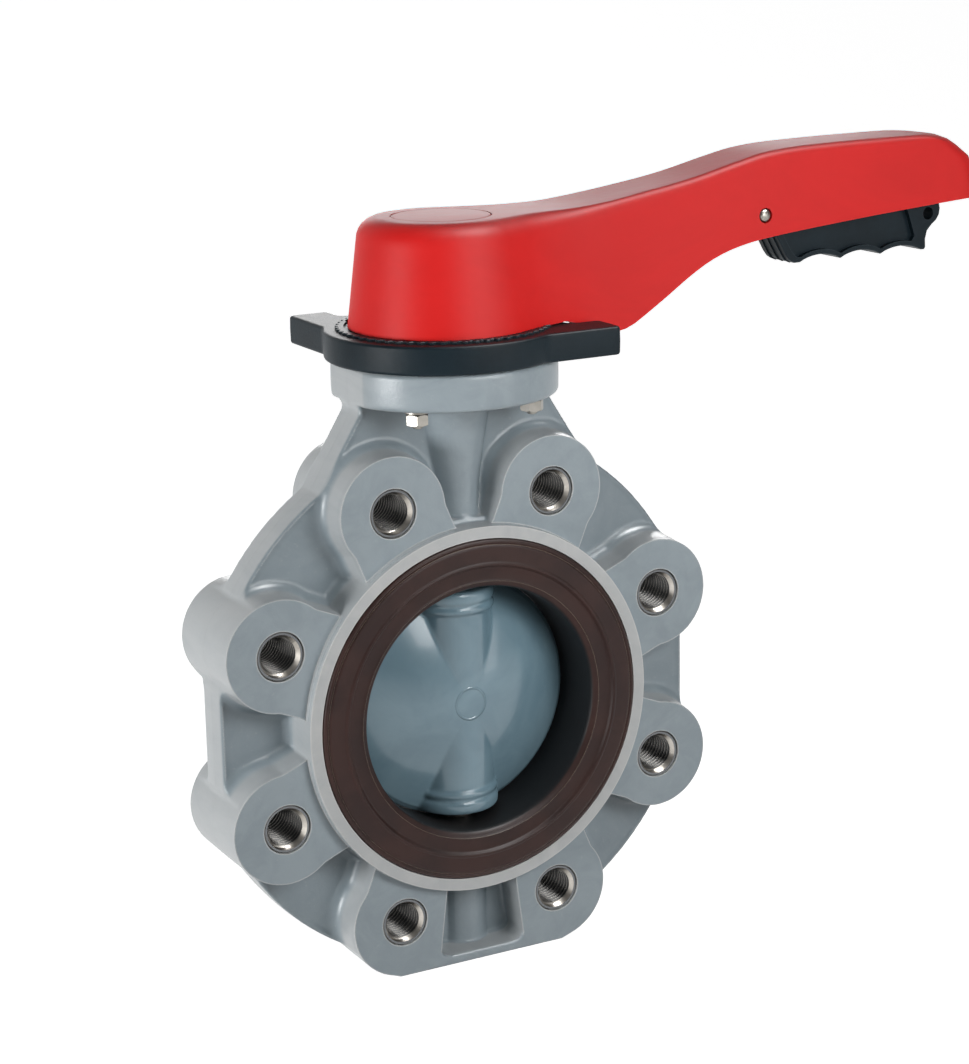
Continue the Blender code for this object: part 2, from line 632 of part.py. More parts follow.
def handle_fasteners(plastic, steel, axis):
    bm = bmesh.new()
    low, high = CAP_SEAT + 0.3 * MM, HUB_TOP
    turned(bm, [(0, low), (CAP_RADIUS, low), (CAP_RADIUS, high - 0.5 * MM), (CAP_RADIUS - 0.5 * MM, high),
                (0, high)], 28)
    add_object("handle_cap", bm, plastic, (0, 0, BORE_Z), axis)
    ring("handle_washer", steel, 4.3 * MM, 9.6 * MM, 180.3 * MM, 181.9 * MM, 20, axis)
    head = bmesh.new()
    turned(head, [(0, 159 * MM), (3.3 * MM, 159 * MM), (3.3 * MM, 184 * MM), (0, 184 * MM)], 12)
    screw = add_object("handle_screw", head, steel, (0, 0, BORE_Z), axis)
    hexagon = bmesh.new()
    prism(hexagon, arc((0, 0), 7.5 * MM, 0, 300, 5), 182.2 * MM, 187.6 * MM)
    top = add_object("handle_screw_head", hexagon)
    combine(screw, "UNION", top)
    placed([top])


# Trigger and pawl ---------------------------------------------------------------------------------

def trigger_outline():
    """Side view from the pivot, first in millimetres: eye, finger, three scallops, heel and straight top."""
    points = [(-5.5, 2.0), (-4.8, -3.2), (-1.9, -4.6), (-1.9, -8.4), (1.9, -8.4), (1.9, -4.2), (7.5, -3.8),
              (9.5, -8.0), (12.4, -13.0), (15.2, -18.0), (19.6, -21.8)]
    for start, end in ((22.5, 42.9), (42.9, 63.3), (63.3, 84.4)):
        width = (end - start) / 8
        points += [(start + width * i, -21.8 + 2.5 * math.sin(math.pi * i / 8)) for i in (1, 3, 5, 7)]
    points += [(86.4, -21.8), (86.4, -17.6), (87.3, -14.0), (92.0, -9.8), (93.8, -5.0), (91.5, 0.0),
               (86.0, 2.6), (40.0, 4.2), (12.0, 5.0), (3.0, 6.0), (-2.5, 5.8)]
    return [(x * MM, z * MM) for x, z in points]


def trigger(material, axis):
    bm = bmesh.new()
    prism(bm, trigger_outline(), -TRIGGER_HALF, TRIGGER_HALF, "Y")
    place = PIVOT + Vector((0, 0, BORE_Z))
    squeeze = add_object("trigger", bm, material, place, axis)
    pivot_hole = cylinder("trigger_pivot_hole", PIN_RADIUS + 0.15 * MM, -20 * MM, 20 * MM, 16, "Y")
    lock_hole = cylinder("trigger_lock_hole", 2.7 * MM, -20 * MM, 20 * MM, 12, "Y")
    low, high = (-3 * MM, -8.7 * MM), (3 * MM, -4.4 * MM)
    sides = []
    for number, (near, far) in enumerate(((-12 * MM, -2 * MM), (2 * MM, 12 * MM)), 1):
        sides.append(block(f"finger_side_{number}", (low[0], near, low[1]), (high[0], far, high[1])))
    for helper in (pivot_hole, *sides):
        helper.location = place
    lock_hole.location = place + Vector((87.4, 0, -6.7)) * MM
    combine(squeeze, "DIFFERENCE", pivot_hole, lock_hole, *sides)


def pivot_pin(material, axis):
    end = 16.6 * MM
    bm = bmesh.new()
    half = [(PIN_RADIUS, end - 1.4 * MM), (1.9 * MM, end - 0.4 * MM), (0, end)]
    turned(bm, [(r, -y) for r, y in reversed(half)] + half, 16, "Y")
    add_object("pivot_pin", bm, material, PIVOT + Vector((0, 0, BORE_Z)), axis)


def trigger_spring(material, axis):
    """Torsion spring on the pin, beside the trigger: a helix of round wire with two straight legs."""
    wire, radius, turns, sides, steps = 0.5 * MM, 4.6 * MM, 2.0, 6, 14
    path = [Vector((14.0, 9.4, 4.6)) * MM]
    for i in range(int(turns * steps) + 1):
        turn = math.tau * i / steps + math.pi * 0.5
        path.append(Vector((radius * math.cos(turn), (9.4 + 1.25 * i / steps) * MM, radius * math.sin(turn))))
    path.append(Vector((-9.0, 11.8, 4.6)) * MM)
    bm = bmesh.new()
    rings = []
    for i, point in enumerate(path):
        forward = (path[min(i + 1, len(path) - 1)] - path[max(i - 1, 0)]).normalized()
        side = forward.cross(Vector((0, 1, 0))).normalized()
        up = side.cross(forward)
        spokes = [polar(wire, 360 / sides * k) for k in range(sides)]
        rings.append([bm.verts.new(point + side * a + up * b) for a, b in spokes])
    for first, second in zip(rings, rings[1:]):
        for k in range(sides):
            bm.faces.new((first[k], first[(k + 1) % sides], second[(k + 1) % sides], second[k]))
    bm.faces.new(rings[0])
    bm.faces.new(rings[-1])
    add_object("trigger_spring", bm, material, PIVOT + Vector((0, 0, BORE_Z)), axis)


def pawl(material, axis):
    """A flat bar under the arm, from the window that holds the trigger's finger to the nose at the teeth."""
    thick = 1.2 * MM
    pull = PIVOT - Vector((0, 0, PULL_DROP))
    along_bar = (pull - PAWL_NOSE).normalized()
    across = Vector((-along_bar.z, 0, along_bar.x)) * thick
    back = pull + along_bar * 4.6 * MM
    front = PAWL_NOSE + along_bar * 3.2 * MM
    nose_low = PLATE_TOP + 0.45 * MM
    outline = [(PAWL_NOSE.x, nose_low), (PAWL_NOSE.x + 3.4 * MM, nose_low),
               (front.x + 1.4 * MM, (front - across).z), ((back - across).x, (back - across).z),
               ((back + across).x, (back + across).z), (PAWL_NOSE.x, (PAWL_NOSE + across).z)]
    bm = bmesh.new()
    prism(bm, outline, -5 * MM, 5 * MM, "Y")
    bar = add_object("pawl", bm, material, (0, 0, BORE_Z), axis)
    window = block("pawl_window", (pull.x - 2.5 * MM, -2.5 * MM, pull.z - 8 * MM),
                   (pull.x + 2.5 * MM, 2.5 * MM, pull.z + 8 * MM))
    combine(bar, "DIFFERENCE", window)
    placed([window])


def main():
    clear_scene()
    grey = finish_material("body_plastic", (0.33, 0.37, 0.39), 0.42)
    rubber = finish_material("liner_rubber", (0.045, 0.022, 0.018), 0.5)
    slate = finish_material("disc_plastic", (0.13, 0.21, 0.25), 0.22)
    black = finish_material("plate_plastic", (0.014, 0.024, 0.032), 0.38)
    red = finish_material("handle_plastic", (0.68, 0.024, 0.02), 0.4)
    steel = finish_material("stainless_steel", (0.62, 0.6, 0.57), 0.25, 1.0)
    nylon = finish_material("bush_plastic", (0.72, 0.7, 0.64), 0.5)

    stem_axis = add_axis("stem_axis", (0, 0, BORE_Z))
    trigger_axis = add_axis("trigger_axis", PIVOT + Vector((0, 0, BORE_Z)))
    pawl_axis = add_axis("pawl_axis", PAWL_NOSE + Vector((0, 0, BORE_Z)))

    valve_body(grey)
    lug_inserts(steel)
    liner(rubber)
    bushes(nylon)
    retaining_ring(steel)
    notched_plate(black)
    plate_bolts(steel)
    disc(slate, stem_axis)
    stem(steel, stem_axis)
    stem_seals(rubber, stem_axis)
    handle_shell(red, stem_axis)
    handle_fasteners(red, steel, stem_axis)
    pivot_pin(steel, stem_axis)
    trigger_spring(steel, stem_axis)
    trigger(black, trigger_axis)
    pawl(steel, pawl_axis)


main()
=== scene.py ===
import math

import bmesh
import bpy
from mathutils import Matrix, Vector


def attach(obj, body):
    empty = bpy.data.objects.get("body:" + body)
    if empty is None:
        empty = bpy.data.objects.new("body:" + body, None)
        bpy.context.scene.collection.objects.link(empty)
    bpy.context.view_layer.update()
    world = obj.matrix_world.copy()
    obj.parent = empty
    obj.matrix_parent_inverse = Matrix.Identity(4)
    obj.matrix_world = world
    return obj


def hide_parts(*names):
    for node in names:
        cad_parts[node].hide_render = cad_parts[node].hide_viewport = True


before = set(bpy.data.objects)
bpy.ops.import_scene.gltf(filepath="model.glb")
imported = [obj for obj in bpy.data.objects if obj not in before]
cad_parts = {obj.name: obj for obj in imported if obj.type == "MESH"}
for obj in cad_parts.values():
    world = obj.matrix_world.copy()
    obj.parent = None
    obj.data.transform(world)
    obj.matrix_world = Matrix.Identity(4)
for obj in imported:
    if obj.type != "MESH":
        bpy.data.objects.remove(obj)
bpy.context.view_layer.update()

mm = 0.001
boreHeight = 106.3 * mm  # the bore's axis over the foot; heights below are counted from it
lugAngles = [22.5 + 45.0 * i for i in range(8)]
lugCircle = 90.0
pivotAt = (138.6, 0.0, 181.9)  # the trigger's pin
boltOffset = 24.7  # of the plate's four screws, along X and along Y
boltHole = 2.75
stemHole = 8.6


# Small modelling helpers. Shapes are drawn in millimetres about the bore and scaled once, at the end.

def arcPoints(center, radius, start, end, steps):
    turn = math.radians(end - start) / steps
    first = math.radians(start)
    return [(center[0] + radius * math.cos(first + turn * i), center[1] + radius * math.sin(first + turn * i))
            for i in range(steps + 1)]


def mirrored(points):  # adds the same points on the other side of the middle
    return points + [(-x, z) for x, z in reversed(points)]


def readCurve(curve, x):
    for (x0, z0), (x1, z1) in zip(curve, curve[1:]):
        if x <= x1:
            return z0 + (z1 - z0) * (x - x0) / (x1 - x0)
    return curve[-1][1]


def smoothCurve(curve, x):  # the same, with an eased run between the points
    last = len(curve) - 1
    for i in range(last):
        (x0, z0), (x1, z1) = curve[i], curve[i + 1]
        if x <= x1 or i == last - 1:
            t = max(0.0, min(1.0, (x - x0) / (x1 - x0)))
            before, after = curve[max(i - 1, 0)], curve[min(i + 2, last)]
            slopeIn = (z1 - before[1]) / (x1 - before[0]) * (x1 - x0)
            slopeOut = (after[1] - z0) / (after[0] - x0) * (x1 - x0)
            return ((2 * t**3 - 3 * t**2 + 1) * z0 + (t**3 - 2 * t**2 + t) * slopeIn
                    + (3 * t**2 - 2 * t**3) * z1 + (t**3 - t**2) * slopeOut)


def flatFace(bm, outline, height):  # an outline in X and Z, laid across Y; run anticlockwise it looks to the front
    return bm.faces.new([bm.verts.new((x, height, z)) for x, z in outline])


def levelFace(bm, outline, height):  # an outline in X and Y, laid level; run anticlockwise it looks up
    return bm.faces.new([bm.verts.new((x, y, height)) for x, y in outline])


def stepIn(bm, face, steps, keepFirst=False):  # each step goes so far in and so far out of the face
    bm.normal_update()
    outward = face.normal.copy()
    for inward, rise in steps:
        if inward > 0:
            bmesh.ops.inset_region(bm, faces=[face], thickness=inward, depth=rise, use_boundary=True,
                                   use_even_offset=True)
        else:
            face = extruded(bm, face, keepFirst)
            bmesh.ops.translate(bm, verts=face.verts, vec=outward * rise)


def closeOpenEdges(bm):
    bmesh.ops.holes_fill(bm, edges=[edge for edge in bm.edges if edge.is_boundary], sides=0)


def frontAndBack(bm):  # the same shape on the other side of the middle plane
    bmesh.ops.mirror(bm, geom=bm.verts[:] + bm.edges[:] + bm.faces[:], axis="Y", merge_dist=1e-4)


def upAndDown(bm, middle):  # the same shape below its own level, then lifted to its place
    bmesh.ops.mirror(bm, geom=bm.verts[:] + bm.edges[:] + bm.faces[:], axis="Z", merge_dist=1e-4)
    bmesh.ops.translate(bm, verts=bm.verts, vec=(0, 0, middle))


def turnedAbout(bm, profile, steps, axis="Z"):  # spins a profile of radius and height right round
    points = [bm.verts.new((r, 0, h) if axis == "Z" else (r, h, 0)) for r, h in profile]
    edges = [bm.edges.new(pair) for pair in zip(points, points[1:])]
    if profile[0][0] > 0:
        edges.append(bm.edges.new((points[-1], points[0])))
    bmesh.ops.spin(bm, geom=points + edges, cent=(0, 0, 0), axis=(0, 0, 1) if axis == "Z" else (0, 1, 0),
                   angle=math.tau, steps=steps, use_merge=True)


def tower(bm, sections, steps):  # level ovals one over another: height, half width in X, half width in Y
    height, wide, deep = sections[0]
    ring = bmesh.ops.create_circle(bm, cap_ends=True, radius=1.0, segments=steps)["verts"]
    bmesh.ops.scale(bm, verts=ring, vec=(wide, deep, 1))
    bmesh.ops.translate(bm, verts=ring, vec=(0, 0, height))
    top = ring[0].link_faces[0]
    for nextHeight, nextWide, nextDeep in sections[1:]:
        top = extruded(bm, top, height == sections[0][0])
        bmesh.ops.translate(bm, verts=top.verts, vec=(0, 0, nextHeight - height))
        bmesh.ops.scale(bm, verts=top.verts, vec=(nextWide / wide, nextDeep / deep, 1))
        height, wide, deep = nextHeight, nextWide, nextDeep


def extruded(bm, face, keepFirst=True):
    geometry = bmesh.ops.extrude_face_region(bm, geom=[face], use_keep_orig=keepFirst)["geom"]
    if not keepFirst:
        bmesh.ops.delete(bm, geom=[face], context="FACES_ONLY")
    return [item for item in geometry if isinstance(item, bmesh.types.BMFace)][0]


def intoMesh(bm):
    bmesh.ops.remove_doubles(bm, verts=bm.verts, dist=1e-4)
    bmesh.ops.recalc_face_normals(bm, faces=bm.faces)
    mesh = bpy.data.meshes.new("shape")
    bm.to_mesh(mesh)
    bm.free()
    return mesh


def helperFrom(*shapes):  # one scratch object that holds several closed shapes
    whole = bmesh.new()
    for bm in shapes:
        mesh = intoMesh(bm)
        whole.from_mesh(mesh)
        bpy.data.meshes.remove(mesh)
    bmesh.ops.scale(whole, verts=whole.verts, vec=(mm, mm, mm))
    mesh = bpy.data.meshes.new("helper")
    whole.to_mesh(mesh)
    whole.free()
    helper = bpy.data.objects.new("helper", mesh)
    bpy.context.scene.collection.objects.link(helper)
    return helper


def joined(*objects):  # the meshes of several objects in one new object
    whole = bmesh.new()
    for obj in objects:
        whole.from_mesh(obj.data)
        bpy.data.meshes.remove(obj.data)
    mesh = bpy.data.meshes.new("joined")
    whole.to_mesh(mesh)
    whole.free()
    made = bpy.data.objects.new("joined", mesh)
    bpy.context.scene.collection.objects.link(made)
    return made


def settle(obj):  # applies the modifiers
    graph = bpy.context.evaluated_depsgraph_get()
    made = bpy.data.meshes.new_from_object(obj.evaluated_get(graph), depsgraph=graph)
    obj.modifiers.clear()
    old = obj.data
    obj.data = made
    bpy.data.meshes.remove(old)


def cutWith(obj, operation, helper, solver="MANIFOLD"):
    boolean = obj.modifiers.new("cut", "BOOLEAN")
    boolean.operation = operation
    boolean.solver = solver
    boolean.object = helper
    settle(obj)
    bpy.data.meshes.remove(helper.data)


def fused(obj, voxel, rounds, share):  # melts overlapping shapes into one skin with soft corners
    remesh = obj.modifiers.new("melt", "REMESH")
    remesh.mode = "VOXEL"
    remesh.voxel_size = voxel * mm
    smooth = obj.modifiers.new("soften", "SMOOTH")
    smooth.factor = 0.5
    smooth.iterations = rounds
    settle(obj)
    if share < 1.0:
        thin = obj.modifiers.new("thin", "DECIMATE")
        thin.ratio = share
        settle(obj)


def finishPiece(obj, name, material, body, nodes, sharpAngle):
    obj.name = name
    mesh = obj.data
    mesh.name = name
    mesh.transform(Matrix.Translation((0, 0, boreHeight)))
    mesh.materials.clear()
    mesh.materials.append(material)
    mesh.shade_smooth()
    mesh.set_sharp_from_angle(angle=math.radians(sharpAngle))
    weighted = obj.modifiers.new("calmFlats", "WEIGHTED_NORMAL")  # keeps broad flats evenly shaded
    weighted.keep_sharp = True
    settle(obj)
    obj.data.name = name
    mesh = obj.data
    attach(obj, body)
    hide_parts(*nodes)
    print(f"{name}: {len(mesh.polygons)} faces")
    return obj


# Shader maths: a wire is one output socket.

class Wire:
    def __init__(self, tree, out):
        self.tree = tree
        self.out = out

    def node(self, kind, settings=None, sockets=None, pick=0):
        made = self.tree.nodes.new("ShaderNode" + kind)
        for name, value in (settings or {}).items():
            if name == "stops":
                while len(made.color_ramp.elements) < len(value):
                    made.color_ramp.elements.new(1.0)
                for element, (position, level) in zip(made.color_ramp.elements, value):
                    element.position = position
                    element.color = (level, level, level, 1.0)
            else:
                setattr(made, name, value)
        for name, value in (sockets or {}).items():
            if isinstance(value, Wire):
                self.tree.links.new(value.out, made.inputs[name])
            else:
                made.inputs[name].default_value = value
        return Wire(self.tree, made.outputs[pick])

    def maths(self, operation, first, second):
        return self.node("Math", {"operation": operation}, {0: first, 1: second})

    def __add__(self, other):
        return self.maths("ADD", self, other)

    def __radd__(self, other):
        return self.maths("ADD", other, self)

    def __sub__(self, other):
        return self.maths("SUBTRACT", self, other)

    def __rsub__(self, other):
        return self.maths("SUBTRACT", other, self)

    def __mul__(self, other):
        return self.maths("MULTIPLY", self, other)

    def __rmul__(self, other):
        return self.maths("MULTIPLY", other, self)

    def band(self, low, high):  # rises from 0 at low to 1 at high
        return self.node("MapRange", {"interpolation_type": "SMOOTHSTEP"}, {0: self, 1: low, 2: high})

    def noise(self, scale, detail=3.0, rough=0.55, stretch=(1, 1, 1), twist=0.0):
        place = self.node("Mapping", {}, {"Vector": self, "Scale": stretch})
        return place.node("TexNoise", {}, {"Vector": place, "Scale": scale, "Detail": detail,
                                           "Roughness": rough, "Distortion": twist})

    def part(self, axis):
        return self.node("SeparateXYZ", {}, {0: self}, "XYZ".index(axis))

    def unsigned(self):
        return self.node("Math", {"operation": "ABSOLUTE"}, {0: self})

    def tint(self, first, second):  # this wire picks between two colours
        return self.node("Mix", {"data_type": "RGBA"}, {0: self, 6: first, 7: second}, 2)


def rgb(red, green, blue):
    return (red, green, blue, 1.0)


def startMaterial(name):
    made = bpy.data.materials.new(name)
    made.use_nodes = True
    tree = made.node_tree
    shader = tree.nodes["Principled BSDF"]
    where = Wire(tree, tree.nodes.new("ShaderNodeTexCoord").outputs["Object"])
    return made, shader, where


def finishMaterial(shader, where, color, roughness, height, depth, **fixed):
    tree = where.tree
    bump = where.node("Bump", {}, {"Strength": 1.0, "Distance": depth, "Height": height})
    for name, wire in (("Base Color", color), ("Roughness", roughness), ("Normal", bump)):
        tree.links.new(wire.out, shader.inputs[name])
    for name, value in fixed.items():
        shader.inputs[name.replace("_", " ")].default_value = value


def reachFromBore(where):  # how far a point is from the bore's axis
    across, up = where.part("X"), where.part("Z") - boreHeight
    return where.node("Math", {"operation": "SQRT"}, {0: across * across + up * up})


# A mask for painted highlights along edges and fillets.
def edgeHighlightMask(where, radius=0.9 * mm):  # 1 along edges and corners, however the faces are cut up
    rounded = where.node("Bevel", {"samples": 4}, {"Radius": radius})
    plain = where.node("NewGeometry", {}, {}, 1)
    match = where.node("VectorMath", {"operation": "DOT_PRODUCT"}, {0: rounded, 1: plain}, 1)
    return (1.0 - match).band(0.006, 0.09)


# pale paints light on the side faces, edge paints highlights along edges and fillets, shade paints the web's shade
bodyFinish = {"deep": rgb(0.255, 0.305, 0.335), "main": rgb(0.300, 0.352, 0.382), "pale": rgb(0.56, 0.565, 0.56),
              "shade": rgb(0.13, 0.165, 0.185), "collar": rgb(0.60, 0.595, 0.58), "edge": rgb(0.72, 0.71, 0.69),
              "grain": rgb(0.50, 0.53, 0.54), "roughness": 0.25, "seam": 0.35 * mm}


def bodyMaterial():  # glass-filled plastic: mottled, satin, with a fine grain, painted highlights along its edges, side faces painted paler as painted light, and painted shade on the web
    made, shader, where = startMaterial("bodyGrey")
    clouds = where.noise(26.0, 5.0, 0.62, twist=0.8)
    grain = where.noise(420.0, 4.0, 0.7)
    flow = where.noise(60.0, 4.0, 0.6, (1.0, 0.35, 1.0), 1.6)
    facing = where.node("VectorMath", {"operation": "ABSOLUTE"},
                        {0: Wire(where.tree, where.out.node.outputs["Normal"])})
    sideOn = 1.0 - facing.part("Y")
    color = (clouds * 0.55 + flow * 0.45).band(0.36, 0.62).tint(bodyFinish["deep"], bodyFinish["main"])
    # side faces are painted paler in flowing patches: painted light from the side
    color = (sideOn.band(0.45, 0.95) * (0.35 + flow * 0.35)).tint(color, bodyFinish["pale"])
    deep = where.part("Y").unsigned()
    color = ((1.0 - deep.band(8.6 * mm, 12.0 * mm)) * (1.0 - sideOn.band(0.2, 0.7)) * 0.45).tint(
        color, bodyFinish["shade"])  # the web lies in the shade of the pads
    reach = reachFromBore(where)
    collarFace = deep.band(25.7 * mm, 25.9 * mm) * (1.0 - reach.band(74.6 * mm, 75.0 * mm))
    color = (collarFace * (0.45 + flow * 0.5)).tint(color, bodyFinish["collar"])
    # painted highlight along the edges and fillets
    color = (edgeHighlightMask(where) * 0.75).tint(color, bodyFinish["edge"])
    color = (grain.band(0.60, 0.78) * 0.18).tint(color, bodyFinish["grain"])
    seam = where.node("Math", {"operation": "LESS_THAN"}, {0: deep, 1: bodyFinish["seam"]}) * sideOn.band(0.6, 0.9)
    height = grain * 0.35 + clouds * 0.9 + where.noise(1900.0, 2.0) * 0.18 + seam * 0.8
    finishMaterial(shader, where, color, bodyFinish["roughness"] + flow * 0.14, height, 0.16 * mm,
                   Specular_IOR_Level=0.5)
    return made


def linerMaterial():  # dark brown rubber with painted highlights along its ribs
    made, shader, where = startMaterial("linerBrown")
    clouds = where.noise(45.0, 4.0, 0.6)
    grain = where.noise(900.0, 3.0, 0.6)
    color = clouds.band(0.35, 0.65).tint(rgb(0.022, 0.0085, 0.0070), rgb(0.036, 0.0150, 0.0120))
    reach = reachFromBore(where)
    # the bore face around the disc is painted near black: painted shade
    color = reach.band(50.0 * mm, 50.6 * mm).tint(rgb(0.010, 0.010, 0.011), color)
    # painted highlight along the ribs' edges
    color = (edgeHighlightMask(where, 0.35 * mm) * 0.5).tint(color, rgb(0.42, 0.34, 0.26))
    height = grain * 0.4 + clouds * 0.4
    finishMaterial(shader, where, color, 0.36 + clouds * 0.22, height, 0.08 * mm, Specular_IOR_Level=0.22)
    return made


def discMaterial():  # glossy slate blue-grey moulding, with a plain round mark at its centre
    made, shader, where = startMaterial("discSlate")
    clouds = where.noise(30.0, 4.0, 0.6, twist=0.6)
    grain = where.noise(700.0, 3.0, 0.6)
    color = clouds.band(0.35, 0.68).tint(rgb(0.160, 0.262, 0.320), rgb(0.205, 0.318, 0.380))
    # painted highlight along the edges
    color = (edgeHighlightMask(where, 0.6 * mm) * 0.3).tint(color, rgb(0.30, 0.40, 0.43))
    reach = reachFromBore(where)
    ringMark = reach.band(5.8 * mm, 6.2 * mm) * (1.0 - reach.band(6.6 * mm, 7.0 * mm))
    height = grain * 0.12 + clouds * 0.8 + ringMark * 2.4
    finishMaterial(shader, where, color, 0.17 + clouds * 0.12, height, 0.12 * mm, Coat_Weight=0.25,
                   Coat_Roughness=0.08)
    return made


def plateMaterial():  # blue-black plastic with a fine spark-eroded grain
    made, shader, where = startMaterial("plateBlack")
    clouds = where.noise(40.0, 4.0, 0.6)
    grain = where.noise(1300.0, 3.0, 0.65)
    color = clouds.band(0.35, 0.65).tint(rgb(0.0040, 0.0100, 0.0145), rgb(0.0070, 0.0155, 0.0215))
    # painted highlight along the edges
    color = (edgeHighlightMask(where, 0.6 * mm) * 0.35).tint(color, rgb(0.055, 0.075, 0.090))
    height = grain * 0.6 + clouds * 0.5
    finishMaterial(shader, where, color, 0.36 + grain * 0.16, height, 0.10 * mm, Specular_IOR_Level=0.14)
    return made


def handleMaterial():  # red plastic, semi-gloss, with faint flow marks
    made, shader, where = startMaterial("handleRed")
    clouds = where.noise(22.0, 5.0, 0.6, (0.5, 1.0, 1.0), 1.2)
    peel = where.noise(260.0, 2.0, 0.5)
    specks = where.noise(1500.0, 2.0, 0.6)
    color = clouds.band(0.34, 0.66).tint(rgb(0.660, 0.0070, 0.0060), rgb(0.710, 0.0085, 0.0075))
    # painted highlight along the edges
    color = (edgeHighlightMask(where, 0.6 * mm) * 0.25).tint(color, rgb(0.80, 0.07, 0.055))
    color = (specks.band(0.70, 0.80) * 0.25).tint(color, rgb(0.40, 0.008, 0.008))
    height = peel * 0.7 + clouds * 0.6 + specks * 0.12
    finishMaterial(shader, where, color, 0.46 + clouds * 0.10, height, 0.10 * mm, Specular_IOR_Level=0.22)
    return made


def steelMaterial():  # stainless steel with fine turning marks
    made, shader, where = startMaterial("turnedSteel")
    marks = where.noise(900.0, 2.0, 0.5, (1.0, 6.0, 1.0))
    stain = where.noise(120.0, 4.0, 0.6)
    color = stain.band(0.35, 0.70).tint(rgb(0.246, 0.2337, 0.208), rgb(0.30, 0.285, 0.26))
    finishMaterial(shader, where, color, 0.24 + stain * 0.20, marks, 0.03 * mm, Metallic=1.0)
    return made


def threadMaterial():  # steel inserts: painted shade down the thread, painted highlights on its crests, bright on the chamfer
    made, shader, where = startMaterial("threadSteel")
    deep = where.part("Y").unsigned()
    stain = where.noise(140.0, 4.0, 0.6)
    inside = 1.0 - deep.band(19.2 * mm, 20.2 * mm)
    color = stain.band(0.35, 0.70).tint(rgb(0.36, 0.335, 0.30), rgb(0.52, 0.49, 0.45))
    # the thread is painted near black: painted shade inside the hole
    color = (inside * 0.93).tint(color, rgb(0.030, 0.032, 0.034))
    # painted highlights along the thread's crests
    color = (inside * edgeHighlightMask(where, 0.25 * mm) * 0.6).tint(color, rgb(0.60, 0.56, 0.50))
    # the flat ring at each end is coloured dark grey
    color = deep.band(21.28 * mm, 21.36 * mm).tint(color, rgb(0.12, 0.125, 0.13))
    finishMaterial(shader, where, color, 0.20 + stain * 0.2, stain, 0.03 * mm, Metallic=1.0)
    return made


def nylonMaterial():  # natural nylon of the bearing bushes
    made, shader, where = startMaterial("bushNylon")
    clouds = where.noise(80.0, 4.0, 0.6)
    color = clouds.band(0.35, 0.65).tint(rgb(0.62, 0.59, 0.51), rgb(0.74, 0.72, 0.65))
    finishMaterial(shader, where, color, 0.45 + clouds * 0.15, clouds, 0.05 * mm)
    return made


grey, brown, slate = bodyMaterial(), linerMaterial(), discMaterial()
black, red, steel, nylon = plateMaterial(), handleMaterial(), steelMaterial(), nylonMaterial()
threadSteel = threadMaterial()
print("finishes ready")


# Body: pads, rim, collar, neck and foot are closed shapes that are melted into one casting, then bored.

casting = {"lugRadius": 22.3, "neckHalf": 21.0, "lugDepth": 21.9, "rimRadius": 108.5, "sideFlat": 103.3,
           "footHalf": 37.0, "footBar": 4.2, "collarRadius": 74.0, "collarDepth": 26.0,
           "flangeLow": 123.1, "flangeTop": 137.4, "flangeRadius": 44.2, "flangeHalf": 42.0,
           "voxel": 0.65, "softenRounds": 2, "keep": 0.2}


def lugOutline(angle, grow, innerEnd):
    half = casting["neckHalf"] + grow
    radius = casting["lugRadius"] + grow
    bend = math.degrees(math.acos(half / radius))
    points = arcPoints((lugCircle, 0), radius, -90 - bend, 90 + bend, 40)
    points += [(innerEnd, half), (innerEnd, -half)]
    c, s = math.cos(math.radians(angle)), math.sin(math.radians(angle))
    return [(x * c - z * s, x * s + z * c) for x, z in points]


def lugPad(angle):  # from the middle plane out to the face, with a small draft and a rounded edge
    bm = bmesh.new()
    face = flatFace(bm, lugOutline(angle, 0.0, 68.5), 0)
    stepIn(bm, face, [(0.10, casting["lugDepth"]), (0.05, 1.3)])
    frontAndBack(bm)
    return bm


def lugFlare(angle):  # the soft skirt where a pad runs into the web
    bm = bmesh.new()
    face = flatFace(bm, lugOutline(angle, 5.6, 60.0), -7.3)
    stepIn(bm, face, [(0.2, 0.6), (1.16, 0.22), (1.09, 0.45), (0.93, 0.72), (0.72, 0.93), (0.50, 1.09),
                      (0.25, 1.16), (0.30, 4.0), (0.25, 3.5)])
    closeOpenEdges(bm)
    frontAndBack(bm)
    return bm


def rimOutline(grow=0.0):
    radius, flat = casting["rimRadius"] + grow, casting["sideFlat"] + grow
    neck = casting["flangeHalf"] + grow
    right = [(casting["footHalf"] + grow, -boreHeight / mm + 4)]
    right += arcPoints((0, 0), radius, -61, -31, 14)
    right += [(flat, -20), (flat, 20)]
    right += arcPoints((0, 0), radius, 31, 57, 12)
    right += [(41.3 + grow, 119.6), (41.0 + grow, 121.5), (neck, 123.4), (neck, 128)]
    return mirrored(right)


def webShape():  # the plate between the pads, with a raised lip along its edge
    bm = bmesh.new()
    face = flatFace(bm, rimOutline(), 0)
    stepIn(bm, face, [(0.30, 7.7), (0.10, 0.40), (0.22, 0.26), (0.38, 0.14), (0.70, 0.01), (0.30, -0.25),
                      (0.30, -0.20)])
    frontAndBack(bm)
    return bm


def collarShape():
    bm = bmesh.new()
    outer, deep = casting["collarRadius"], casting["collarDepth"]
    side = [(outer + 5.0, 7.4), (outer + 4.6, 7.9), (outer + 3.4, 8.1), (outer + 2.3, 8.6), (outer + 1.4, 9.4),
            (outer + 0.8, 10.4), (outer + 0.5, 12.0), (outer + 0.3, 16.0), (outer, deep + 1.3)]
    turnedAbout(bm, [(0, -deep - 1.3), *[(r, -y) for r, y in reversed(side)], *side, (0, deep + 1.3)], 120, "Y")
    return bm


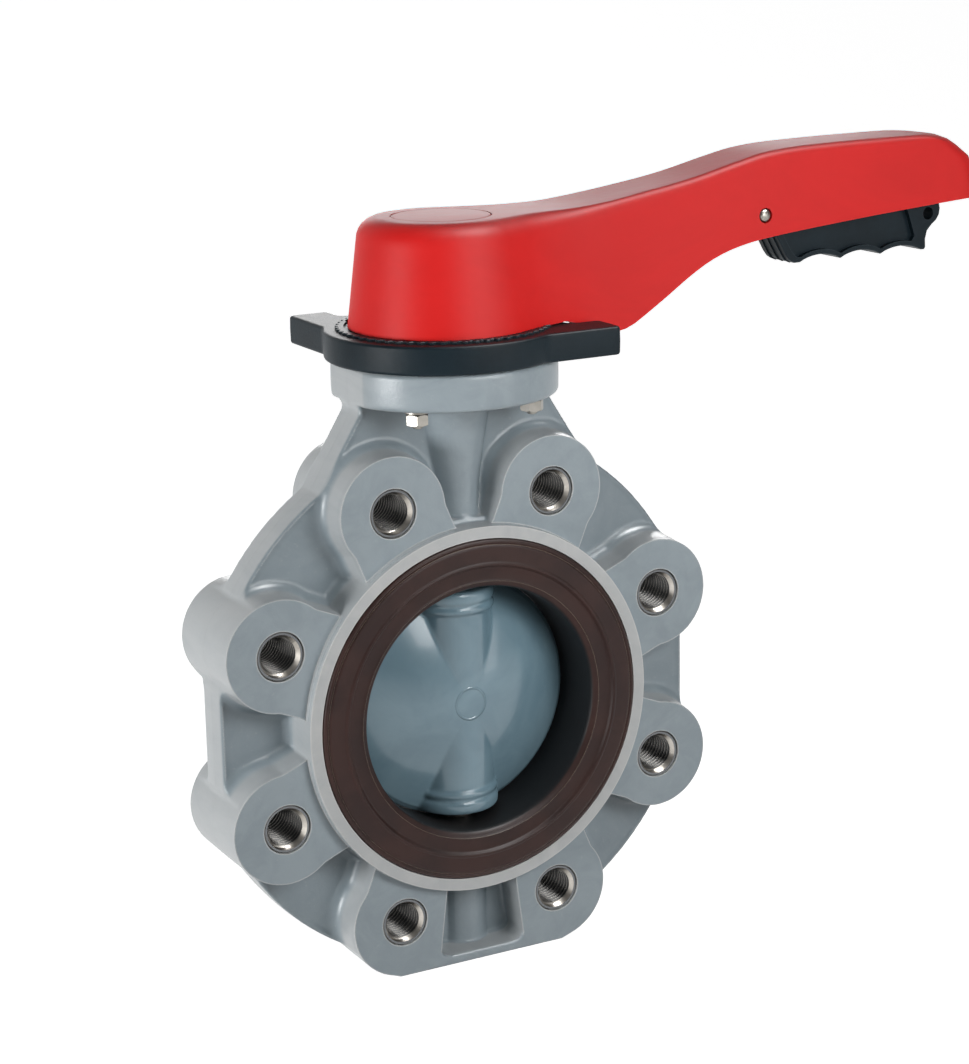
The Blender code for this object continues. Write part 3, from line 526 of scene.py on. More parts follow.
def flangeShape():
    bm = bmesh.new()
    half, radius = casting["flangeHalf"], casting["flangeRadius"]
    edge = math.degrees(math.acos(half / radius))
    outline = arcPoints((0, 0), radius, edge, 180 - edge, 48) + arcPoints((0, 0), radius, 180 + edge, 360 - edge, 48)
    middle = (casting["flangeLow"] + casting["flangeTop"]) / 2
    rise = casting["flangeTop"] - middle
    face = levelFace(bm, outline, 0)
    stepIn(bm, face, [(0.10, rise - 1.2), (0.25, 0.55), (0.35, 0.40), (0.55, 0.25)])
    upAndDown(bm, middle)
    return bm


def columnShape():  # round the stem, from the collar up to the flange
    bm = bmesh.new()
    tower(bm, [(70.0, 10.2, 16.0), (78.0, 10.0, 16.0), (90.0, 11.0, 16.0), (100.0, 12.9, 16.2), (110.0, 15.0, 16.6),
               (117.0, 16.6, 17.2), (120.5, 17.8, 18.4), (122.4, 19.4, 20.0), (123.6, 22.0, 22.5), (128.0, 22.0, 22.5)],
          48)
    return bm


def ledgeShape():  # small ledge where the column meets the collar
    bm = bmesh.new()
    face = levelFace(bm, [(-7, -17.4), (9.5, -17.4), (9.5, 17.4), (-7, 17.4)], 70.0)
    stepIn(bm, face, [(0.05, 5.4), (0.5, 0.5)])
    closeOpenEdges(bm)
    return bm


def lowerBoss():
    bm = bmesh.new()
    tower(bm, [(-104.0, 12.5, 13.4), (-101.0, 11.6, 13.0), (-98.0, 11.2, 12.8), (-70.0, 11.2, 12.8)], 40)
    return bm


def footShape():
    bm = bmesh.new()
    under = -boreHeight / mm
    half, bar = casting["footHalf"], casting["footBar"]
    outline = mirrored([(half, under), (half + 8, under + 3.7), (half + 4, under + bar + 1.2), (24, under + bar + 1),
                        (20.4, under + bar + 5.0), (18.6, under + bar + 2.6), (16.4, under + bar + 0.8),
                        (13.4, under + bar)])
    face = flatFace(bm, list(reversed([(-x, z) for x, z in outline])), 0)
    stepIn(bm, face, [(0.05, 21.0), (0.12, 0.42), (0.26, 0.28), (0.40, 0.20)])
    frontAndBack(bm)
    return bm


def footPocket(side):  # straight-sided recess over the foot, with rounded lower corners
    bm = bmesh.new()
    low, corner = -boreHeight / mm + 4.4, 3.6
    floor, far = 8.1, 24.0
    right = arcPoints((15.0, low + corner), corner, -90, 0, 8) + [(15.4, -73.0)]
    outline = [(-x, z) for x, z in reversed(right)] + right
    face = flatFace(bm, outline, -floor if side < 0 else far)
    stepIn(bm, face, [(0.0, far - floor)])
    closeOpenEdges(bm)
    return bm


def bored(radius, low, high, center, steps, axis):
    bm = bmesh.new()
    turnedAbout(bm, [(0, low), (radius, low), (radius, high), (0, high)], steps, axis)
    bmesh.ops.translate(bm, verts=bm.verts, vec=center)
    return bm


def lugCenter(angle):
    return lugCircle * math.cos(math.radians(angle)), lugCircle * math.sin(math.radians(angle))


boltCenters = [(sx * boltOffset, sy * boltOffset) for sx in (-1, 1) for sy in (-1, 1)]


def makeBody():
    limit = bmesh.new()
    face = flatFace(limit, rimOutline(-0.6), 0)
    stepIn(limit, face, [(0.0, 24.0)])
    frontAndBack(limit)
    limitMesh = intoMesh(limit)
    shapes = []
    for first in (0, 1):  # neighbouring skirts overlap, so they are trimmed to the rim in two sets
        skirts = helperFrom(*[lugFlare(angle) for angle in lugAngles[first::2]])
        trim = bmesh.new()
        trim.from_mesh(limitMesh)
        cutWith(skirts, "INTERSECT", helperFrom(trim))
        shapes.append(skirts)
    core = helperFrom(webShape(), flangeShape(), columnShape(), ledgeShape(), footShape(),
                      *[lugPad(angle) for angle in lugAngles])
    body = joined(core, *shapes)
    fused(body, casting["voxel"], 0, 1.0)
    cutWith(body, "DIFFERENCE", helperFrom(footPocket(-1), footPocket(1)))
    body = joined(body, helperFrom(collarShape(), lowerBoss()))
    fused(body, casting["voxel"], casting["softenRounds"], casting["keep"])
    seat = bmesh.new()
    turnedAbout(seat, [(0, -30), (69.2, -30), (69.2, -20.8), (62.2, -20.8), (62.2, 20.8), (69.2, 20.8), (69.2, 30),
                       (0, 30)], 128, "Y")
    stemBore = bmesh.new()
    turnedAbout(stemBore, [(0, -95), (10.2, -95), (10.2, -66), (stemHole, -66), (stemHole, 101.7), (12.0, 101.7),
                           (12.0, 150), (0, 150)], 40)
    cutWith(body, "DIFFERENCE", helperFrom(seat))
    cutWith(body, "DIFFERENCE", helperFrom(stemBore))
    for side in (-1, 1):  # the pads and the collar end in true flats
        deep, padDeep = casting["collarDepth"], casting["lugDepth"]
        step = casting["collarRadius"] + 0.35
        facing = bmesh.new()
        turnedAbout(facing, [(60, side * deep), (step, side * deep), (step, side * padDeep), (118, side * padDeep),
                             (118, side * 32), (60, side * 32)], 144, "Y")
        cutWith(body, "DIFFERENCE", helperFrom(facing))
    holes = [bored(9.8, -30, 30, (lugCenter(angle)[0], 0, lugCenter(angle)[1]), 48, "Y") for angle in lugAngles]
    holes += [bored(boltHole, 110, 150, (x, y, 0), 24, "Z") for x, y in boltCenters]
    cutWith(body, "DIFFERENCE", helperFrom(*holes))
    return finishPiece(body, "bodyCasting", grey, "housing", ["valve_body"], 55)


makeBody()
print("body ready")


# Threaded inserts: one helical thread surface, opened out to a chamfer and a rim at each end.

insert = {"radius": 9.55, "crest": 6.95, "root": 8.05, "pitch": 2.0, "half": 21.4, "chamfer": 1.5, "steps": 40}


def makeInsert(number, angle):
    bm = bmesh.new()
    pitch, crest, root = insert["pitch"], insert["crest"], insert["root"]
    threadEnd = insert["half"] - insert["chamfer"]
    turns = math.ceil(threadEnd / pitch) + 1
    rows = []
    for i in range(-turns, turns):
        rows += [(crest, i * pitch), (crest, i * pitch + 0.30), (root, i * pitch + 0.92), (root, i * pitch + 1.38)]
    points = [bm.verts.new((r, y, 0)) for r, y in rows]
    edges = [bm.edges.new(pair) for pair in zip(points, points[1:])]
    bmesh.ops.spin(bm, geom=points + edges, cent=(0, 0, 0), axis=(0, 1, 0), angle=math.tau, steps=insert["steps"],
                   dvec=(0, pitch / insert["steps"], 0), use_merge=False)
    bmesh.ops.remove_doubles(bm, verts=bm.verts, dist=2e-3)
    for side in (-1, 1):
        bmesh.ops.bisect_plane(bm, geom=bm.verts[:] + bm.edges[:] + bm.faces[:], plane_co=(0, side * threadEnd, 0),
                               plane_no=(0, side, 0), clear_outer=True)
    outer = []
    for side in (-1, 1):
        edges = [edge for edge in bm.edges
                 if edge.is_boundary and all(abs(v.co.y - side * threadEnd) < 1e-3 for v in edge.verts)]
        for radius, reach in ((crest + insert["chamfer"], insert["half"]),
                              (insert["radius"] - 0.35, insert["half"]), (insert["radius"], insert["half"] - 0.35)):
            geometry = bmesh.ops.extrude_edge_only(bm, edges=edges)["geom"]
            edges = [item for item in geometry if isinstance(item, bmesh.types.BMEdge)]
            for vert in {v for edge in edges for v in edge.verts}:
                flat = Vector((vert.co.x, 0, vert.co.z)).normalized() * radius
                vert.co = (flat.x, side * reach, flat.z)
        outer += edges
    bmesh.ops.bridge_loops(bm, edges=outer)
    x, z = lugCenter(angle)
    bmesh.ops.translate(bm, verts=bm.verts, vec=(x, 0, z))
    return finishPiece(helperFrom(bm), f"lugInsert{number}", threadSteel, "housing",
                       [f"lug_insert_{number}"], 32)


for number, angle in enumerate(lugAngles, 1):
    makeInsert(number, angle)
print("inserts ready")


# Liner: turned section with its sealing ribs, then the stem's way through it.

liner = {"edge": 68.9, "face": 28.0, "bore": 49.7, "steps": 144}


def makeLiner():
    edge, face, bore = liner["edge"], liner["face"], liner["bore"]
    half = [(61.9, 21.1), (edge, 21.1), (edge, face - 1.9), (edge - 0.35, face - 1.3), (edge - 1.0, face - 1.0),
            (67.6, face - 1.0), (67.2, face - 1.35), (66.8, face - 1.35), (66.4, face - 0.85), (65.6, face - 0.7),
            (60.4, face - 0.7), (60.0, face - 0.35), (59.5, face), (58.9, face), (58.4, face - 0.4),
            (58.1, face - 1.3), (57.5, face - 1.6), (53.2, face - 1.6), (52.8, face - 1.25), (52.3, face - 1.2),
            (51.9, face - 1.6), (51.4, face - 1.9), (50.5, face - 2.4), (49.95, face - 3.3), (bore, face - 4.6)]
    bm = bmesh.new()
    turnedAbout(bm, half + [(r, -y) for r, y in reversed(half)], liner["steps"], "Y")
    sleeve = helperFrom(bm)
    cutWith(sleeve, "DIFFERENCE", helperFrom(bored(stemHole, -70, 70, (0, 0, 0), 40, "Z")))
    return finishPiece(sleeve, "linerSleeve", brown, "housing", ["liner"], 50)


makeLiner()
print("liner ready")


# Disc: a domed plate crossed by the hub, melted together so that the dome runs into the hub.

discSize = {"radius": 49.62, "rim": 2.0, "crown": 16.4, "hub": 16.2, "hubEnd": 46.0, "voxel": 0.6}


def makeDisc():
    radius, rim, crown = discSize["radius"], discSize["rim"], discSize["crown"]
    rows = 26
    side = [(radius * i / rows, rim + (crown - rim) * (1 - (i / rows) ** 1.75)) for i in range(rows)]
    side += [(radius - 1.3, rim), (radius - 0.4, rim * 0.75), (radius, rim * 0.3)]
    dome = bmesh.new()
    turnedAbout(dome, [(r, -y) for r, y in side] + [(r, y) for r, y in reversed(side)], 120, "Y")
    end, hub = discSize["hubEnd"], discSize["hub"]
    beads = [(hub, 0.0), (hub, end - 10.4), (hub + 0.2, end - 9.6), (hub + 1.0, end - 8.8), (hub + 1.3, end - 7.9),
             (hub + 1.0, end - 7.0), (hub + 0.5, end - 6.2), (hub + 0.6, end - 5.6), (hub + 1.3, end - 4.6),
             (hub + 1.5, end - 3.4), (hub + 1.4, end - 1.4), (hub + 0.9, end - 0.4), (hub - 0.2, end), (0, end)]
    barrel = bmesh.new()
    turnedAbout(barrel, [(r, -z) for r, z in reversed(beads[1:])] + beads[1:], 96)
    disc = helperFrom(dome, barrel)
    fused(disc, discSize["voxel"], 2, 1.0)
    cutWith(disc, "DIFFERENCE", helperFrom(bored(8.25, -60, 60, (0, 0, 0), 40, "Z")))
    return finishPiece(disc, "valveDisc", slate, "lever", ["disc"], 60)


makeDisc()
print("disc ready")


# Notched plate with its two ears and the ring of teeth.

plate = {"low": 137.7, "top": 148.9, "radius": 46.7, "earNear": 23.5, "earFar": 40.5, "earEnd": 56.0,
         "teeth": 60, "tip": 41.9, "root": 40.7, "tooth": 0.9}


def plateOutline():
    soft, tight, corner = 10.0, 4.0, 2.0
    farX = math.sqrt((plate["radius"] + soft) ** 2 - (plate["earFar"] + soft) ** 2)
    nearX = math.sqrt((plate["radius"] + tight) ** 2 - (plate["earNear"] - tight) ** 2)
    farTurn = math.degrees(math.atan2(plate["earFar"] + soft, farX))
    nearTurn = math.degrees(math.atan2(plate["earNear"] - tight, nearX))
    first = arcPoints((farX, -plate["earFar"] - soft), soft, 180 - farTurn, 90, 12)
    first += arcPoints((plate["earEnd"] - corner, -plate["earFar"] + corner), corner, -90, 0, 6)
    first += arcPoints((plate["earEnd"] - corner, -plate["earNear"] - corner), corner, 0, 90, 6)
    first += arcPoints((nearX, -plate["earNear"] + tight), tight, -90, -180 - nearTurn, 8)
    second = [(y, x) for x, y in reversed(first)]
    between = arcPoints((0, 0), plate["radius"], -nearTurn, 90 + nearTurn, 48)[1:-1]
    behind = arcPoints((0, 0), plate["radius"], 90 + farTurn, 360 - farTurn, 80)[1:-1]
    return first + between + second + behind


def makePlate():
    middle = (plate["low"] + plate["top"]) / 2
    rise = (plate["top"] - plate["low"]) / 2
    bm = bmesh.new()
    face = levelFace(bm, plateOutline(), 0)
    stepIn(bm, face, [(0.10, rise - 1.25), (0.08, 0.45), (0.24, 0.42), (0.42, 0.26), (0.50, 0.12)])
    upAndDown(bm, middle)
    body = helperFrom(bm)
    crown = bmesh.new()
    toothAngle = 360.0 / plate["teeth"]
    outline = []
    for i in range(plate["teeth"]):
        for radius, share in ((plate["root"], 0.0), (plate["tip"], 0.26), (plate["tip"], 0.52), (plate["root"], 0.78)):
            turn = math.radians(toothAngle * (i + share))
            outline.append((radius * math.cos(turn), radius * math.sin(turn)))
    face = levelFace(crown, outline, plate["top"] - 2.0)
    stepIn(crown, face, [(0.0, 2.0 + plate["tooth"] - 0.25), (0.22, 0.25)])
    closeOpenEdges(crown)
    cutWith(body, "UNION", helperFrom(crown))
    inside = bored(38.6, plate["top"], plate["top"] + 5, (0, 0, 0), 96, "Z")
    center = bored(9.5, 130, 155, (0, 0, 0), 48, "Z")
    cutWith(body, "DIFFERENCE", helperFrom(inside))
    cutWith(body, "DIFFERENCE", helperFrom(center))
    cutWith(body, "DIFFERENCE", helperFrom(*[bored(boltHole, 130, 155, (x, y, 0), 32, "Z") for x, y in boltCenters]))
    cutWith(body, "DIFFERENCE",
            helperFrom(*[bored(5.0, plate["top"] - 6, 155, (x, y, 0), 40, "Z") for x, y in boltCenters]))
    return finishPiece(body, "notchedPlate", black, "housing", ["notched_plate"], 32)


makePlate()
print("plate ready")


# Plate screws with their washers and nuts.

bolts = {"shank": 2.38, "head": 4.2, "headTop": 147.9, "headLow": 143.2, "tail": 115.4, "nut": 4.7, "nutLow": 117.0,
         "nutTop": 121.4, "washer": 5.0}


def makeScrew(number, x, y):
    bm = bmesh.new()
    head, top, low = bolts["head"], bolts["headTop"], bolts["headLow"]
    shank, tail = bolts["shank"], bolts["tail"]
    turnedAbout(bm, [(0, top), (head - 0.6, top), (head - 0.15, top - 0.15), (head, top - 0.6), (head, low),
                     (shank, low), (shank, tail + 1.3), (shank - 0.5, tail + 0.45), (shank - 1.3, tail + 0.1),
                     (0, tail)], 40)
    screw = helperFrom(bm)
    socket = bmesh.new()
    hexagon = bmesh.ops.create_circle(socket, cap_ends=True, radius=2.3, segments=6)["verts"]
    bmesh.ops.translate(socket, verts=hexagon, vec=(0, 0, top + 1))
    lifted = extruded(socket, hexagon[0].link_faces[0])
    bmesh.ops.translate(socket, verts=lifted.verts, vec=(0, 0, -3.6))
    cutWith(screw, "DIFFERENCE", helperFrom(socket))
    screw.data.transform(Matrix.Translation((x * mm, y * mm, 0)))
    return finishPiece(screw, f"plateScrew{number}", steel, "housing", [f"plate_screw_{number}"], 30)


def makeWasher(number, x, y):
    bm = bmesh.new()
    outer = bolts["washer"]
    turnedAbout(bm, [(boltHole, 121.7), (outer - 0.2, 121.7), (outer, 121.9), (outer, 122.6), (outer - 0.2, 122.8),
                     (boltHole, 122.8)], 40)
    bmesh.ops.translate(bm, verts=bm.verts, vec=(x, y, 0))
    return finishPiece(helperFrom(bm), f"plateWasher{number}", steel, "housing",
                       [f"plate_washer_{number}"], 30)


def makeNut(number, x, y):
    low, high, across = bolts["nutLow"], bolts["nutTop"], bolts["nut"]
    bm = bmesh.new()
    ring = bmesh.ops.create_circle(bm, cap_ends=True, radius=across, segments=6)["verts"]
    bmesh.ops.rotate(bm, verts=ring, cent=(0, 0, 0), matrix=Matrix.Rotation(math.radians(11 + 23 * number), 3, "Z"))
    bmesh.ops.translate(bm, verts=ring, vec=(0, 0, low))
    top = extruded(bm, ring[0].link_faces[0])
    bmesh.ops.translate(bm, verts=top.verts, vec=(0, 0, high - low))
    nut = helperFrom(bm)
    turned = bmesh.new()  # the turned cone takes the corners off both ends
    turnedAbout(turned, [(0, low), (4.0, low), (4.75, low + 0.5), (4.75, high - 0.5), (4.0, high), (0, high)], 48)
    cutWith(nut, "INTERSECT", helperFrom(turned))
    cutWith(nut, "DIFFERENCE", helperFrom(bored(2.65, low - 2, high + 2, (0, 0, 0), 32, "Z")))
    nut.data.transform(Matrix.Translation((x * mm, y * mm, 0)))
    return finishPiece(nut, f"plateNut{number}", steel, "housing", [f"plate_nut_{number}"], 25)


for number, (x, y) in enumerate(boltCenters, 1):
    makeScrew(number, x, y)
    makeWasher(number, x, y)
    makeNut(number, x, y)
print("plate fasteners ready")


# Handle: rings drawn up the grip's side, over a rounded edge and across the top, then given a wall.

grip = {"hub": 37.0, "join": 17.4, "half": 16.2, "swell": 16.5, "fade": 29.0, "tip": 253.6, "wall": 3.2,
        "hubDraft": 4.2, "armDraft": 1.5, "hubRound": 8.4, "armRound": 3.0, "cap": 19.2, "top": 191.6, "capSeat": 188.8,
        "underside": [(-40, 149.5), (25, 149.5), (36, 149.5), (44.8, 149.4), (46.9, 146.2), (49, 144.2),
                      (53, 143.0), (60, 142.5), (66, 142.5), (73, 143.8), (82, 148.6), (92, 154.6),
                      (102, 160.9), (112, 166.2), (123, 170.0), (138, 172.8), (173, 176.2), (214, 179.4),
                      (256, 182.2)],
        "crest": [(-40, 191.6), (45, 191.7), (62, 192.8), (83, 195.6), (105, 199.2), (127, 204.2), (141, 207.0),
                  (160, 208.4), (208, 208.9), (256, 208.3)],
        "tipBack": [(182.0, 0.0), (185.0, 0.3), (191.5, 2.1), (198.7, 6.1), (205.3, 15.2), (207.6, 22.5),
                    (208.4, 29.0)],
        "stations": list(range(20, 232, 4))}


def halfWidth(x):
    return grip["half"] + grip["swell"] * math.exp(-(x - grip["join"]) / grip["fade"])


def gripShare(x):  # 0 over the hub, 1 along the arm
    t = max(0.0, min(1.0, (x - grip["join"]) / 55.0))
    return t * t * (3 - 2 * t)


def gripRing(hubInset, armInset, hubShare, armShare):
    low, high = readCurve(grip["underside"], 253), readCurve(grip["crest"], 253)
    tip = grip["tip"] - readCurve(grip["tipBack"], low + (high - low) * armShare)
    leave = math.degrees(math.acos(grip["join"] / grip["hub"]))
    radius = grip["hub"] - hubInset
    half = arcPoints((0, 0), radius, 180, leave, 30)
    end = grip["half"] - armInset
    straight = tip - end * 0.8
    for x in grip["stations"]:
        reach = 20 + (straight - 20) * (x - 20) / (grip["stations"][-1] - 20)
        blend = gripShare(reach)
        half.append((reach, halfWidth(reach) - hubInset * (1 - blend) - armInset * blend))
    half += [(straight + end * 0.8 * math.sin(math.radians(a)), end * math.cos(math.radians(a)) ** 0.85)
             for a in (10, 20, 30, 40, 50, 60, 70, 80)]
    half.append((tip, 0))
    points = []
    for x, y in half:
        share = hubShare + (armShare - hubShare) * gripShare(x)
        low, high = smoothCurve(grip["underside"], x), smoothCurve(grip["crest"], x)
        points.append((x, y, low + (high - low) * share))
    return points + [(x, -y, z) for x, y, z in reversed(points[1:-1])]


def gripRings():
    tall, armTall = 41.0, 31.0
    hubTop, armTop = 1 - grip["hubRound"] / tall, 1 - grip["armRound"] / armTall
    rings = [gripRing(grip["hubDraft"] * t, grip["armDraft"] * t, hubTop * t, armTop * t)
             for t in (0.0, 0.02, 0.1, 0.2, 0.3, 0.4, 0.5, 0.6, 0.7, 0.8, 0.9, 1.0)]
    for angle in (15, 30, 45, 60, 75, 90):
        c, s = 1 - math.cos(math.radians(angle)), math.sin(math.radians(angle))
        rings.append(gripRing(grip["hubDraft"] + grip["hubRound"] * c, grip["armDraft"] + grip["armRound"] * c,
                              hubTop + (1 - hubTop) * s, armTop + (1 - armTop) * s))
    return rings


def makeHandle():
    bm = bmesh.new()
    rings = gripRings()
    ring = [bm.verts.new(point) for point in rings[0]]
    edges = [bm.edges.new((ring[i], ring[(i + 1) % len(ring)])) for i in range(len(ring))]
    for points in rings[1:]:
        geometry = bmesh.ops.extrude_edge_only(bm, edges=edges)["geom"]
        edges = [item for item in geometry if isinstance(item, bmesh.types.BMEdge)]
        bm.verts.index_update()
        raised = [item for item in geometry if isinstance(item, bmesh.types.BMVert)]
        below = {vert: next(edge.other_vert(vert) for edge in vert.link_edges
                            if edge.other_vert(vert) in ring) for vert in raised}
        order = {vert: i for i, vert in enumerate(ring)}
        ring = sorted(raised, key=lambda vert: order[below[vert]])
        for vert, point in zip(ring, points):
            vert.co = point
    ends = {ring[0], ring[len(ring) // 2]}
    bmesh.ops.bridge_loops(bm, edges=[edge for edge in edges if not ends & set(edge.verts)])
    overUnderside = 186.0  # only the top's two small gaps lie higher; the open lower edge stays open
    gaps = [edge for edge in bm.edges if edge.is_boundary and min(v.co.z for v in edge.verts) > overUnderside]
    bmesh.ops.holes_fill(bm, edges=gaps, sides=0)
    bmesh.ops.triangulate(bm, faces=[face for face in bm.faces if len(face.verts) > 4])
    shell = helperFrom(bm)
    wall = shell.modifiers.new("wall", "SOLIDIFY")
    wall.thickness = grip["wall"] * mm
    wall.offset = -1.0
    wall.use_even_offset = False
    settle(shell)
    boss = bored(15.0, 151.4, 190.6, (0, 0, 0), 64, "Z")
    cutWith(shell, "UNION", helperFrom(boss), "EXACT")
    seat = bmesh.new()
    turnedAbout(seat, [(0, 170), (4.4, 170), (4.4, 180), (10.5, 180), (10.5, grip["capSeat"]),
                       (grip["cap"] + 0.3, grip["capSeat"]), (grip["cap"] + 0.3, 200), (0, 200)], 96)
    cutWith(shell, "DIFFERENCE", helperFrom(seat), "EXACT")
    socket = bmesh.new()
    face = levelFace(socket, [(-6.3, -6.3), (6.3, -6.3), (6.3, 6.3), (-6.3, 6.3)], 140.0)
    stepIn(socket, face, [(0.0, 37.3)])
    closeOpenEdges(socket)
    cutWith(shell, "DIFFERENCE", helperFrom(socket), "EXACT")
    cutWith(shell, "DIFFERENCE", helperFrom(bored(3.1, -25, 25, pivotAt, 32, "Y")), "EXACT")
    return finishPiece(shell, "handleShell", red, "lever", ["handle_shell"], 38)


def makeCap():
    low, high, radius = grip["capSeat"] + 0.3, grip["top"], grip["cap"]
    bm = bmesh.new()
    turnedAbout(bm, [(0, low), (radius, low), (radius, high - 0.55), (radius - 0.16, high - 0.16),
                     (radius - 0.55, high), (0, high)], 96)
    return finishPiece(helperFrom(bm), "handleCap", red, "lever", ["handle_cap"], 30)


makeHandle()
makeCap()
print("handle ready")


# Trigger and its pin.

squeeze = {"half": 8.5, "low": -21.8, "notch": 2.5, "pin": 2.8}


def scallops(lift, steps):  # the three finger notches along the lower edge
    points = []
    for start, end in ((22.5, 42.9), (42.9, 63.3), (63.3, 84.4)):
        for i in range(steps + (start > 60)):
            points.append((start + (end - start) * i / steps,
                           squeeze["low"] + lift + squeeze["notch"] * math.sin(math.pi * i / steps) ** 0.8))
    return points


def makeTrigger():
    outline = [(-5.5, 2.0), (-5.3, -1.2), (-4.6, -3.2), (-1.9, -4.6), (-1.9, -8.4), (1.9, -8.4), (1.9, -4.2),
               (7.5, -3.8), (9.5, -8.0), (12.4, -13.0), (15.2, -18.0), (17.0, -20.4), (19.6, -21.8)]
    outline += scallops(0.0, 10)
    outline += [(86.0, -21.8), (86.6, -20.8), (86.4, -17.6), (87.3, -14.0), (89.6, -11.6), (92.0, -9.8), (93.4, -7.6),
                (93.8, -5.0), (93.2, -2.4), (91.5, 0.0), (86.0, 2.6), (40.0, 4.2), (12.0, 5.0), (3.0, 6.0),
                (-2.5, 5.8)]
    bm = bmesh.new()
    face = flatFace(bm, outline, 0)
    stepIn(bm, face, [(0.0, squeeze["half"] - 0.6), (0.14, 0.36), (0.36, 0.24)])
    frontAndBack(bm)
    trigger = helperFrom(bm)
    panel = [(13.6, -9.0), (16.0, -13.4), (18.4, -17.2), (20.6, -19.4)] + scallops(2.1, 8)
    panel += [(80.6, -15.6), (78.4, -9.0), (76.0, -3.0), (74.0, 1.0), (12.0, 1.8), (11.0, -4.0)]
    panel = [point for i, point in enumerate(panel) if i < 4 or point[0] < 80.7]
    for side in (-1, 1):
        hollow = bmesh.new()
        face = flatFace(hollow, panel, 0)
        stepIn(hollow, face, [(0.0, 4.0)])
        closeOpenEdges(hollow)
        bmesh.ops.translate(hollow, verts=hollow.verts, vec=(0, -squeeze["half"] + 2.4 if side < 0 else 10.1, 0))
        cutWith(trigger, "DIFFERENCE", helperFrom(hollow))
    cutWith(trigger, "DIFFERENCE", helperFrom(bored(2.95, -20, 20, (0, 0, 0), 32, "Y")))
    cutWith(trigger, "DIFFERENCE", helperFrom(bored(2.7, -20, 20, (87.4, 0, -6.7), 32, "Y")))
    for low, high in ((-12.0, -2.0), (2.0, 12.0)):  # leaves the finger that pulls the pawl narrow
        side = bmesh.new()
        face = flatFace(side, [(-3, -8.8), (3, -8.8), (3, -4.4), (-3, -4.4)], high)
        stepIn(side, face, [(0.0, high - low)])
        closeOpenEdges(side)
        cutWith(trigger, "DIFFERENCE", helperFrom(side))
    ribs = bmesh.new()  # three ribs round the front of the grip
    path = [(9.9, -8.2), (12.7, -13.1), (15.5, -18.1), (17.2, -20.4), (19.4, -21.4)]
    for y in (-5.0, 0.0, 5.0):
        outer = [(px - 0.62, pz - 0.35) for px, pz in path[:4]] + [(19.3, -21.95)]
        face = flatFace(ribs, [(px + 0.8, pz + 0.3) for px, pz in reversed(path)] + outer, y + 0.55)
        stepIn(ribs, face, [(0.0, 1.1)])
    closeOpenEdges(ribs)
    cutWith(trigger, "UNION", helperFrom(ribs))
    trigger.data.transform(Matrix.Translation(Vector(pivotAt) * mm))
    return finishPiece(trigger, "squeezeTrigger", black, "trigger", ["trigger"], 32)


def makePin():
    end, radius = 16.6, squeeze["pin"]
    side = [(0.0, end), (0.8, end - 0.05), (1.5, end - 0.25), (2.1, end - 0.6), (2.55, end - 1.1), (radius, end - 1.8)]
    bm = bmesh.new()
    turnedAbout(bm, [(r, -y) for r, y in side] + [(r, y) for r, y in reversed(side)], 48, "Y")
    bmesh.ops.translate(bm, verts=bm.verts, vec=pivotAt)
    return finishPiece(helperFrom(bm), "pivotPin", steel, "lever", ["pivot_pin"], 40)


makeTrigger()
makePin()
print("trigger ready")


# Parts that keep their own solids get their finish here.

for nodeName, material in (("stem", steel), ("handle_screw", steel), ("handle_washer", steel), ("pawl", steel),
                           ("trigger_spring", steel), ("retaining_ring", steel), ("upper_bush", nylon),
                           ("lower_bush", nylon), ("stem_seal_lower", brown), ("stem_seal_upper", brown),
                           ("stem_seal_top", brown)):
    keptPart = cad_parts[nodeName]
    keptPart.data.materials.clear()
    keptPart.data.materials.append(material)


# Floor, light and camera.

studio = {"near": -3.0, "bend": 1.6, "curve": 1.2, "tall": 3.2, "half": 4.0, "glow": 0.85, "worldLight": 0.11}


def makeSweep():  # a level floor that runs up into the backdrop in one curve
    bm = bmesh.new()
    line = [(studio["near"], 0.0), (studio["bend"], 0.0)]
    line += arcPoints((studio["bend"], studio["curve"]), studio["curve"], -90, 0, 24)[1:]
    line += [(studio["bend"] + studio["curve"], studio["tall"])]
    points = [bm.verts.new((-studio["half"], y, z)) for y, z in line]
    edges = [bm.edges.new(pair) for pair in zip(points, points[1:])]
    geometry = bmesh.ops.extrude_edge_only(bm, edges=edges)["geom"]
    moved = [item for item in geometry if isinstance(item, bmesh.types.BMVert)]
    bmesh.ops.translate(bm, verts=moved, vec=(2 * studio["half"], 0, 0))
    bmesh.ops.recalc_face_normals(bm, faces=bm.faces)
    mesh = bpy.data.meshes.new("studioSweep")
    bm.to_mesh(mesh)
    bm.free()
    mesh.shade_smooth()
    sweep = bpy.data.objects.new("studioSweep", mesh)
    bpy.context.scene.collection.objects.link(sweep)
    made, shader, where = startMaterial("palePaper")
    wash = where.noise(3.0, 2.0)
    color = wash.tint(rgb(0.84, 0.84, 0.84), rgb(0.88, 0.88, 0.88))
    finishMaterial(shader, where, color, 0.7 + wash * 0.1, wash, 0.1 * mm, Emission_Strength=studio["glow"],
                   Emission_Color=rgb(1.0, 1.0, 1.0))
    mesh.materials.append(made)
    sweep.visible_diffuse = False  # bright behind the valve without lighting it from below


def addLight(name, place, target, size, power):
    light = bpy.data.lights.new(name, "AREA")
    light.shape = "RECTANGLE"
    light.size, light.size_y = size
    light.energy = power
    lamp = bpy.data.objects.new(name, light)
    bpy.context.scene.collection.objects.link(lamp)
    lamp.location = place
    lamp.visible_camera = False
    lamp.rotation_euler = (Vector(target) - Vector(place)).to_track_quat("-Z", "Y").to_euler()
    return lamp


